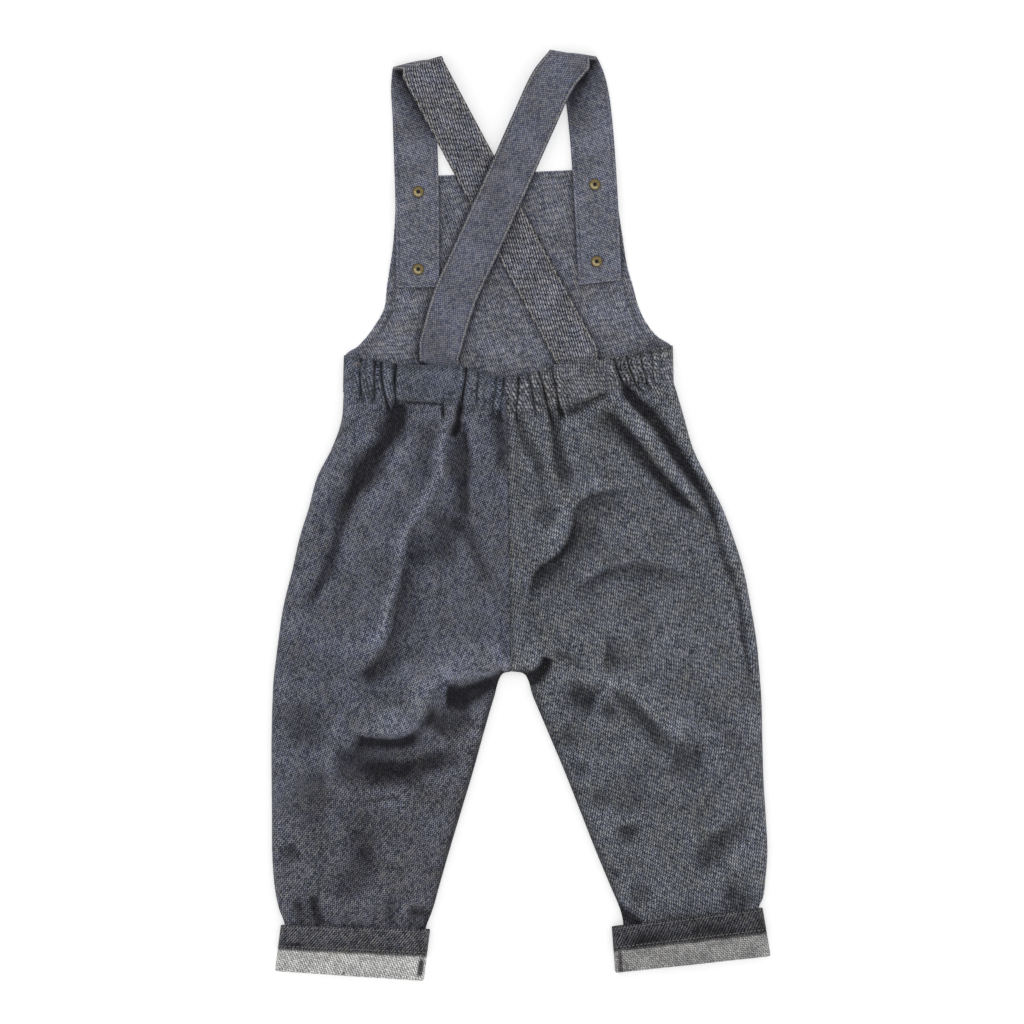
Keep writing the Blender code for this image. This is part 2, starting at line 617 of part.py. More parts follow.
def make_strap(name, strap):
    bm = bmesh.new()
    tops, unders = [], []
    for points, outward in strap_rows(strap):
        at = np.linspace(0.0, 1.0, len(points))
        for side, sign in ((tops, 0.5), (unders, -0.5)):
            places = (points + outward * STRAP_THICK * sign) * MM
            side.append(([bm.verts.new(place) for place in places], at))
    close_wall(bm, tops, unders)
    return add_object(name, bm, "strap_twill")


def cuff_ring(width, height, inset, crown, step):
    """A flattened ring round a cuff, as (distance across, height) pairs, from the lower left round."""
    radius = height / 2 - inset
    flat = np.linspace(0.0, 1.0, CUFF_FLATS)
    bend = np.linspace(-0.5, 0.5, CUFF_BENDS)[1:-1] * math.pi
    left, right = inset + radius, width - inset - radius
    bottom = [(left + (right - left) * f, inset) for f in flat]
    right_end = [(right + radius * math.cos(a), height / 2 + radius * math.sin(a)) for a in bend]
    top = [(right + (left - right) * f, height - inset + step + crown * 4 * f * (1 - f)) for f in flat]
    left_end = [(left - radius * math.cos(a), height / 2 + radius * math.sin(a)) for a in bend[::-1]]
    return np.array(bottom + right_end + top + left_end)


def make_cuff(name, corners):
    """A hem turned up once: a flattened tube with the hem allowance as a band round its top."""
    top_left, top_right, foot_left, foot_right = (np.array(c, float) for c in corners)
    tall = np.linalg.norm(top_left - foot_left)
    band = tall * (1.0 - BAND_SHARE)
    lip = CUFF_WALL + SEAM_GAP + CLOTH
    # around the wall: distance up from the foot, inset, and the band's step
    profile = ((tall, 0.5, BAND_STEP), (tall - 0.8, 0.0, BAND_STEP), (band + 0.4, 0.0, BAND_STEP),
               (band, 0.0, 0.0), (1.2, 0.0, 0.0), (0.3, 0.5, 0.0), (0.0, 1.3, 0.0), (0.3, lip, 0.0),
               (LIP_DEPTH, lip, 0.0), (LIP_DEPTH + SEAM_GAP, CUFF_WALL, 0.0), (tall - 0.4, CUFF_WALL, 0.0))
    bm = bmesh.new()
    rings = []
    for up, inset, step in profile:
        left = foot_left + (top_left - foot_left) * up / tall
        right = foot_right + (top_right - foot_right) * up / tall
        way = unit(right - left)
        ring = cuff_ring(np.linalg.norm(right - left), CUFF_HEIGHT, inset, CUFF_CROWN, step)
        places = [(*(left + way * across_), z) for across_, z in ring]
        rings.append([bm.verts.new(np.array(place) * MM) for place in places])
    for ring, following in zip(rings, rings[1:] + rings[:1]):
        for k in range(len(ring)):
            n = (k + 1) % len(ring)
            bm.faces.new((ring[k], ring[n], following[n], following[k]))
    return add_object(name, bm, "cuff_twill")


def make_button(name, place):
    """A tack button turned about its shank: cap below the bib, ring-shaped back on the strap."""
    cap_radius, cap_height = BUTTON_CAP
    ring_radius, ring_height = BUTTON_RING
    eye_radius, eye_depth = BUTTON_EYE
    seat = cap_height + SEAM_GAP + HEMMED + LAY_GAP + STRAP_THICK + SEAM_GAP
    profile = ((cap_radius - 1.6, 0.0), (cap_radius - 0.3, 0.5), (cap_radius, 1.2),
               (cap_radius - 0.5, cap_height),
               (SHANK_RADIUS, cap_height), (SHANK_RADIUS, seat), (ring_radius, seat),
               (ring_radius, seat + 0.5 * ring_height), (ring_radius - 0.7, seat + ring_height),
               (eye_radius + 0.5, seat + ring_height), (eye_radius, seat + ring_height - eye_depth))
    bm = bmesh.new()
    rings = []
    for radius, z in profile:
        turns = [2 * math.pi * k / BUTTON_SIDES for k in range(BUTTON_SIDES)]
        ring = [(place[0] + radius * math.cos(a), place[1] + radius * math.sin(a), z) for a in turns]
        rings.append([bm.verts.new(np.array(point) * MM) for point in ring])
    for ring, following in zip(rings, rings[1:]):
        for k in range(BUTTON_SIDES):
            n = (k + 1) % BUTTON_SIDES
            bm.faces.new((ring[k], ring[n], following[n], following[k]))
    bm.faces.new(rings[0][::-1])
    bm.faces.new(rings[-1])
    return add_object(name, bm, "button_brass")


def cut_hole(obj, name, place):
    """Cut a round hole for a button's shank."""
    cutter = bpy.data.objects.get(name)
    if cutter is None:
        bm = bmesh.new()
        bmesh.ops.create_cone(bm, cap_ends=True, segments=BUTTON_SIDES, radius1=HOLE_RADIUS * MM,
                              radius2=HOLE_RADIUS * MM, depth=CUTTER_LENGTH * MM)
        mesh = bpy.data.meshes.new(name)
        bm.to_mesh(mesh)
        bm.free()
        cutter = bpy.data.objects.new(name, mesh)
        cutter.location = (place[0] * MM, place[1] * MM, 0.0)
        cutter.hide_render = True
        cutter.display_type = "WIRE"
        bpy.context.collection.objects.link(cutter)
    modifier = obj.modifiers.new(name, "BOOLEAN")
    modifier.operation = "DIFFERENCE"
    modifier.object = cutter


def main():
    for obj in list(bpy.data.objects):
        bpy.data.objects.remove(obj)
    make_legs()
    make_casing()
    bib = make_bib()
    straps = {name: make_strap(name, strap) for name, strap in STRAPS.items()}
    for name, corners in CUFFS.items():
        make_cuff(name, corners)
    for name, place in BUTTONS.items():
        make_button(name, place)
        side = name.split("_")[1]
        for cloth in (bib, straps["strap_" + side]):
            cut_hole(cloth, "hole_" + name, place)


main()
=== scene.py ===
"""The looks of a child's dungarees laid flat on their front, back and bib's inside facing up.

Every cut piece is a thin shell with rounded edges on its solid's form. The tables are in millimetres:
+X runs to the wearer's right, +Y towards the shoulders, +Z up from the surface that it lies on.
"""
import math
from functools import partialmethod
from typing import NamedTuple

import bpy
import numpy as np
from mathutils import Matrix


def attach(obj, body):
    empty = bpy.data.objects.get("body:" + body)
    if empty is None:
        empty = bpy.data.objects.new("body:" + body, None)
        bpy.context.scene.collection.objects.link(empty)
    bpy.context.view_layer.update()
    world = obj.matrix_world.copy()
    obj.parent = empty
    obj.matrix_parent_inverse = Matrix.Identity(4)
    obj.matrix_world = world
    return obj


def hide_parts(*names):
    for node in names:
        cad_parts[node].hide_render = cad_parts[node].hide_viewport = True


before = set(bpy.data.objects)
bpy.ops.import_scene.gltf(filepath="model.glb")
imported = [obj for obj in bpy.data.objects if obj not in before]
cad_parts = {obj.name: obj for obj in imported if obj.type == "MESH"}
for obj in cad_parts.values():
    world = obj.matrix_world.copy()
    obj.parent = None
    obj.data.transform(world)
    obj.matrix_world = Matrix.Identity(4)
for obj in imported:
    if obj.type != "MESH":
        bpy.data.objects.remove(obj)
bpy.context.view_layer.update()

MM = 0.001

# Cloth and the layers it makes when it lies flat
CLOTH = 1.0
FRONT_CLOTH = 0.8                   # leaves the front room for its creases
HEMMED = 1.2
STRAP_THICK = 1.9
CASING_THICK = 2.2
CUFF_WALL = 1.4
SEAM_GAP = 0.3
LAY_GAP = 0.45

# How far the back stands above where it would lie dead flat
LOFT = 7.0
WAIST_LOFT, WAIST_REACH = 1.8, 70.0
ROLL = 11.0                         # width of its rounded edges
DEEPER = 0.7                        # how much of a crease's depth is built
FLAT_RISE = 0.8                     # how softly the deepest troughs bottom out
PUCKER = 0.28                       # height of the fine gathers
PUCKER_REACH = 13.0                 # and how far below the casing they go
CUFF_FADE = 24.0
CUFF_REACH = 20.0
CUFF_RISE = 0.09                    # share of the rise that is left inside a cuff
TUCK = 2.0                          # how far the back legs reach up under the casing
TUCK_DIP, TUCK_LEAD, TUCK_FADE = 1.5, 0.2, 34.0
FELL_WIDTH, FELL_RISE = 9.6, 0.6    # the band of the felled centre seam
FELL_EDGES = (0.8, 1.2)             # how soft its edges are, at the seam and away from it
FAR = 60.0                          # a distance past which nothing reaches

# Creases and gathers
CREASE_REACH = 3.0                  # in widths
CREASE_POWER = 2.6                  # how flat its floor is and how steep its sides: 2 is a bell
WAVER, SWELL = 0.9, 0.18            # how far its line strays, and its width's share that comes and goes
FORM_SPREAD = 1.2                   # how much wider than its crease the form is
MARK_SPREAD = 1.15                  # how much wider than its crease a mark is
GATHER_STEEP, GATHER_SLOW = 0.8, 1.7
GATHER_END = 0.35
FOLD_CLEAR = 6.0
END_GATHER = 0.2                    # share of a gather's depth that is left over a strap's end
END_FLAT, END_FADE = 11.0, 6.0
FRONT_DEEPEST = 0.45

# Marks for the materials, all from 0 to 1: painted shade, and a lighter mark that is partly wear and partly
# painted highlight
FULL_SHADE, FULL_WEAR_AND_LIGHT = 7.5, 8.5    # depth that gets the whole painted shade, and height that gets the whole lighter mark
FOOT_SHADE, FOOT_LINE = 0.9, 1.5    # painted shadow under the casing's foot, where it lies flat
RIDGE_LIGHT = 0.5                   # how much of a ridge's height takes shade away
DEEP_SHADE = (0.15, 0.14, 0.15)     # what a full mark multiplies the cloth's colour by
FULL_LIGHT = (1.7, 1.7, 1.7)
LEG_RELIEF = ((3, 0.9), (9, 2.2))   # (cells to each side, step against them that gets the whole mark)
FRONT_RELIEF = ((4, 0.6),)
CASING_RELIEF = ((3, 0.9), (7, 2.0))
LEG_RELIEF_SHARE, CASING_RELIEF_SHARE = 0.3, 0.45

# Bib and casing
HEM = 6.0
HEM_RISE, HEM_SOFT = 0.38, 0.7
BIB_WAVE = 0.12
BIB_FIRST_ROWS = (0.0, 0.04, 0.15, 0.4)     # shares of the first span, to round its top
BIB_STITCH_INSET = 5.0
LIFT_FLAT, LIFT_FADE = 9.0, 22.0    # of the rise over the button caps
CASING_STEP = (0.15, 0.75)          # above the back leg: gathered, and over a strap's end
CASING_CROWN = 0.6
CASING_CLEAR = 0.4                  # of its lowest place above the back's
CASING_EDGE = (0.35, 0.3)           # how far its top comes down to that, and over which share of its width
CASING_ROWS = (0.0, 0.004, 0.015, 0.035, 0.065, *np.linspace(0.1, 0.9, 14), 0.935, 0.965, 0.985, 0.996, 1.0)
CASING_SHARP = (0.9, 4.0)           # past this share of its width its edge is so much sharper
SEAM_BLEND = 1.2                    # between the two cloths of the casing
STRAP_SHADOW_ON_BIB = {"strap_right": 0.75, "strap_left": 0.6}   # painted shadow on the bib beside each strap
STRAP_SHADOW_ON_BIB_REACH = 2.2
CROSSING_SHADE, CROSSING_REACH = 0.8, 2.4   # and painted shadow on the lower strap beside the upper

# Straps
STRAP_WIDTH = 33.0
FOLD_RADIUS = 4.6
FOLD_TURN = math.pi * FOLD_RADIUS
FOLD_LEAD, FOLD_TAIL, FOLD_ROWS = 10.0, 12.0, 54    # fine rows before, over and past the fold
FOLD_BLEND = 3.0                    # between the twill's two sides
STRAP_TUCK = 16.0                   # under the casing
LOOP_LEVEL, LIMB_CLIMB = 1.6, 60.0  # where the limb leaves the fold, and its way up to the bib
LIMB_SHADE, LIMB_SHADE_END = 9.0, (1.25, 75.0)  # reach of a run's painted shadow on its own limb, and its end
STITCH_INSET = 1.5
EDGE_ROLL = (0.12, 1.6)             # how much thinner a strap is at its edges, and over which width

# Cuffs
CUFF_HEIGHT = 6.3
CUFF_CROWN, CUFF_WAVE = 1.2, 0.25
BAND_STEP, BAND_LIP = 0.8, 0.1      # rise of the hem's band, and where it ends
BAND_SHARE = 0.5
BAND_DARKER = (0.8, 9.0, 8.0)       # how much darker the band gets towards its edge: shade, start and reach
BAND_LINE = (2.6, 1.9, 1.7)         # the painted shadow line below that edge: shade, start and reach
EDGE_STRENGTH = 0.4                 # share of both that is used
CUFF_SHADE = {"cuff_left": 0.0, "cuff_right": 0.42}
SHADE_SHARES = (0.85, 1.2)          # of that, on the band and below it
CUFF_DARKS = {      # share of the way across, height, half width and half height, and how dark
    # The left cuff's first spot is painted shade in the gap at its end.
    "cuff_left": ((0.968, 9.0, 1.9, 5.5, 1.6), (0.46, 2.0, 0.8, 1.6, 0.8), (0.10, 20.5, 9.0, 2.0, 0.6)),
    "cuff_right": ((0.038, 8.0, 1.1, 9.0, 1.6), (0.25, 24.0, 16.0, 4.0, 0.4), (0.62, 25.0, 14.0, 3.0, 0.4)),
}

# Buttons: radius and height of the cap below the bib, and of the ring-shaped back on the strap
BUTTON_CAP = (7.0, 2.3)
BUTTON_RING = (4.5, 1.0)
SHANK = 1.3
BUTTON_BANDS = (1.4, 3.0, 3.7)      # where its back's hole (near-black, painted shade), lip (a painted highlight on one side) and ring end
LIP_HIGHLIGHT_SIDE = (-0.5, -0.86)            # the lip's painted highlight is to this side only, towards the light
LIP_HIGHLIGHT_SPAN = 0.3

# The weave
LIGHT_LEVEL = 0.62                  # how far up from dark to light a plain thread is
UV_DEPTH = 0.5                      # how much of a crease's depth the weave is laid out over
LOWER_LEG = (-118.0, 0.53, 45.0)    # below this line the left leg is greyer: level, slope and blend
WOBBLE_SCALE, WOBBLE = 240.0, 0.7   # how its lines stray: waves a metre, and share of a pitch
DRIFT_SCALE, DRIFT = 160.0, 2.2     # and its floats, as a share of their length
BLOTCH_SCALE = 45.0
LINE_PEAK, FLOAT_PEAK = 1.8, 1.3    # how steeply a thread's light rises, across its line and along it
GRAIN_SCALE = (980.0, 920.0, 0.0)   # specks a metre
CHECKS, GRAIN = (0.5, 0.1), (0.36, -0.18)   # chequered specks and odd ones: factor of the grain, and offset
WARM, COOL = (0.06, 0.02, -0.08), (-0.05, -0.01, 0.06)      # tints of the odd threads
BLOTCH_DARK, BLOTCH_LIGHT = (0.86, 0.85, 0.86), (1.12, 1.13, 1.13)
CREASE_UNEVEN = (0.9, 0.55)         # how a crease's shade goes with the blotches
THREAD_RISE = 0.3
SPOTS_FROM, SPOTS_TO = 0.45, 1.5    # brass from dark spots to light

# Stitches
STITCH_PITCH = 3.0
STITCH_LIFT = 0.05                  # of a stitch's middle above the cloth
STITCH_AHEAD = 0.6                  # how far to each side its direction is read off
HEM_TOP = HEMMED / 2 + 0.32         # above the middle of the cloth
CASING_FACE = CASING_THICK / 2 + 0.1
BIB_STITCH_SPAN = (128.0, 251.0)    # of y
SEAM_STITCH_TOP, SEAM_STITCH_GAPS = 74.0, (1.6, 8.0)
CASING_STITCH_SPAN, CASING_STITCH_UP = (-130.0, 110.0), 2.0
STRAP_STITCH_PITCH, STRAP_STITCH_SINK = 2.5, 0.12
LIMB_STITCHES, LIMB_STITCH_PITCH = (STITCH_INSET, 4.6), 2.9     # rows across, from a limb's end
HEM_STITCHES = (1.6, 2.0)           # down from a turn-up's top, and up from its band's edge
BAR_TACK_SPAN, BAR_TACK_TOP, BAR_TACK_FOOT, BAR_TACK_PITCH = (-125.2, -121.0), 114.5, 106.5, 1.6

# Fineness of the meshes
EVEN_SPLINE, BIB_SPLINE = 6, 9
EDGE_SHARES = (0.0, 0.08, 0.3, 0.65, 1.0)   # rows over a rounded edge, as shares of its radius
EDGE_STEPS = (0.7, 1.6, 3.0)                # and beyond it
BIB_COLUMNS, CASING_COLUMNS, STRAP_COLUMNS, STRAP_SPACING = 120, 400, 34, 1.6
CUFF_COLUMNS, CUFF_BENDS, BUTTON_SIDES = 96, 14, 48
CROTCH = 9                                  # the section of a leg that ends at the crotch
CENTRE = 5                                  # the casing's point on the centre seam


class Section(NamedTuple):
    """A line across a piece, from one edge of it to the other."""
    x0: float
    y0: float
    x1: float
    y1: float


class Crease(NamedTuple):
    """A ridge (height above 0) or trough along a line, with its own width to each side of it."""
    height: float
    left: float             # as the line runs
    right: float
    start: float            # shares of its length over which it rises, and dies out
    end: float
    points: tuple


class Gather(NamedTuple):
    """A gathering valley: x at the casing's top, at its foot and at the valley's end."""
    top: float
    foot: float
    end: float
    run: float
    depth: float
    width: float
    start: float


class Strap(NamedTuple):
    """A strap's middle line: its run from the fold to the casing, and its limb from the fold down."""
    run: tuple
    limb: tuple
    heights: tuple          # (distance from the fold, height of its middle) along the run


class Fineness(NamedTuple):
    """How fine a leg's mesh is."""
    steps: int              # of the spline, from one section to the next
    columns: int
    spacing: float          # from row to row


class Cloth(NamedTuple):
    """How a piece's twill looks."""
    dark: tuple
    light: tuple
    turn: float             # of the twill's lines from the piece's own length, degrees to the right
    pitch: float            # from line to line, millimetres
    length: float           # of a float of light thread
    step: float             # from one line's floats to the next line's, as a share of their length
    lines: float            # how dark it is between the lines, 0 to 1
    rows: float             # and between a line's floats
    fleck: float            # how much the floats differ
    speckle: float
    tint: float = 1.0       # how far its threads differ in colour


class Row(NamedTuple):
    """A row of stitches: points on the cloth with the direction out of it."""
    points: np.ndarray
    out: np.ndarray
    pitch: float


class Line(NamedTuple):
    """A soft line of relief or shade beside an edge, or across the casing."""
    inset: float
    width: float
    strength: float

    def at(self, edge):
        return self.strength * bell(edge - self.inset, self.width)


BACK_MESH = Fineness(16, 136, 1.4)
FRONT_MESH = Fineness(8, 80, 3.0)
# The hem's groove, the painted shade along its inner edge, and the lighter mark at the bib's edge
HEM_GROOVE, HEM_SHADE, HEM_WEAR = Line(HEM - 1.0, 0.4, -0.1), Line(HEM + 0.4, 0.5, 0.55), Line(0.0, 0.7, 0.5)
STRAP_GROOVE, STRAP_RIPPLE = Line(STITCH_INSET, 0.45, -0.2), Line(1.2, 1.2, 0.07)
# A strap's lighter line, partly wear and partly painted highlight, and the painted shade at its edge and
# along a line inside it
STRAP_WEAR_AND_LIGHT, STRAP_SHADES = Line(1.4, 0.8, 0.25), (Line(2.6, 0.6, 0.35), Line(0.0, 0.5, 0.7))
CASING_GROOVES = (Line(0.93, 0.02, -0.15), Line(0.08, 0.02, -0.09))     # as shares of its width

LEFT_LEG = (
    Section(-133.0, 92.0, -10.5, 76.0),
    Section(-134.5, 72.0, -10.5, 58.0),
    Section(-142.0, 50.0, -10.0, 38.0),
    Section(-153.0, 28.5, -9.5, 18.0),
    Section(-159.0, 6.0, -9.2, -4.0),
    Section(-165.9, -16.0, -8.8, -26.0),
    Section(-171.5, -41.0, -8.5, -50.0),
    Section(-178.3, -68.5, -8.0, -74.0),
    Section(-182.2, -95.0, -7.7, -98.0),
    Section(-185.0, -117.0, -7.4, -116.6),
    Section(-185.6, -123.0, -14.2, -118.6),
    Section(-186.4, -139.0, -20.8, -136.0),
    Section(-187.1, -165.0, -28.6, -162.5),
    Section(-187.1, -195.0, -36.9, -192.5),
    Section(-186.8, -225.0, -45.9, -222.5),
    Section(-186.6, -255.0, -55.0, -253.0),
    Section(-184.6, -280.0, -62.4, -279.0),
    Section(-181.5, -295.0, -66.5, -294.0),
    Section(-177.6, -307.5, -71.8, -309.6),
    Section(-181.4, -337.8, -77.0, -344.6),
)
RIGHT_LEG = (
    Section(113.3, 99.5, -10.5, 76.0),
    Section(121.0, 75.5, -10.5, 58.0),
    Section(128.4, 50.0, -10.0, 38.0),
    Section(139.0, 28.0, -9.5, 18.0),
    Section(150.0, 6.5, -9.2, -4.0),
    Section(158.8, -17.0, -8.8, -26.0),
    Section(166.3, -41.0, -8.5, -50.0),
    Section(171.8, -69.0, -8.0, -74.0),
    Section(176.0, -94.0, -7.5, -98.0),
    Section(178.2, -117.0, -7.4, -116.6),
    Section(178.6, -122.5, 2.0, -118.6),
    Section(179.7, -139.0, 9.2, -136.0),
    Section(180.3, -165.0, 20.4, -162.5),
    Section(181.1, -196.0, 33.0, -192.5),
    Section(182.9, -226.0, 44.8, -222.5),
    Section(184.2, -252.0, 56.6, -252.5),
    Section(182.6, -273.0, 67.2, -278.0),
    Section(181.1, -286.0, 73.4, -293.0),
    Section(177.8, -296.0, 76.4, -307.2),
    Section(183.2, -327.2, 74.0, -338.8),
)
BIB = (
    Section(-93.4, 253.9, 70.9, 260.6),
    Section(-94.6, 229.0, 72.2, 235.0),
    Section(-96.4, 203.0, 76.0, 208.5),
    Section(-99.0, 185.0, 79.6, 186.0),
    Section(-101.0, 172.0, 83.8, 172.0),
    Section(-102.6, 157.5, 87.6, 157.5),
    Section(-105.6, 150.0, 91.0, 149.5),
    Section(-110.0, 142.8, 95.6, 142.0),
    Section(-116.0, 134.5, 101.4, 135.0),
    Section(-123.0, 127.0, 107.4, 131.0),
    Section(-132.2, 120.2, 112.2, 127.4),
    Section(-132.3, 97.0, 112.6, 104.0),
)
CASING_TOP = (
    (-132.4, 120.4), (-105.0, 115.5), (-80.0, 112.9), (-48.0, 112.6), (-30.0, 107.5), (-12.0, 103.3),
    (6.0, 106.0), (26.0, 113.6), (60.0, 116.8), (88.0, 122.0), (112.7, 127.7))
CASING_FOOT = (
    (-133.0, 92.3), (-92.0, 85.2), (-59.0, 82.9), (-30.0, 78.4), (-10.5, 76.3), (12.0, 77.6),
    (29.0, 80.2), (46.0, 84.0), (68.0, 93.6), (90.0, 97.2), (113.3, 99.8))
STRAP_ENDS = (((-62.0, 120.0), (-74.0, 84.0)), ((42.0, 120.0), (51.0, 84.0)))
STRAPS = {
    "strap_left": Strap(
        ((-74.4, 335.4), (-56.2, 301.5), (-15.0, 225.0), (43.0, 117.4)),
        ((-80.4, 336.0), (-81.4, 320.0), (-80.3, 300.0), (-79.2, 268.0), (-78.2, 238.0), (-77.9, 171.3)),
        ((0, 10.8), (40, 7.4), (64, 4.9), (80, 3.3), (95, 2.65), (250, 2.65))),
    "strap_right": Strap(
        ((36.0, 341.4), (23.8, 326.0), (9.8, 296.6), (-9.6, 253.1), (-34.4, 198.4), (-49.9, 163.9),
         (-61.8, 124.0)),
        ((40.6, 342.0), (45.6, 330.0), (49.2, 315.0), (52.3, 289.0), (54.6, 258.0), (57.0, 215.0),
         (58.8, 175.0)),
        ((0, 10.8), (40, 9.4), (74, 7.3), (90, 6.4), (110, 5.7), (142, 5.3), (165, 6.3), (188, 7.2),
         (205, 6.6), (228, 3.9), (250, 2.65))),
}
BUTTONS = {
    "button_left_upper": (-77.4, 242.5),
    "button_left_lower": (-77.4, 184.5),
    "button_right_upper": (55.0, 248.0),
    "button_right_lower": (56.4, 190.3),
}
CUFFS = {
    "cuff_left": ((-180.6, -307.2), (-68.4, -310.4), (-185.0, -341.6), (-73.2, -349.0)),
    "cuff_right": ((67.6, -308.4), (181.0, -294.2), (70.2, -343.0), (187.0, -330.4)),
}

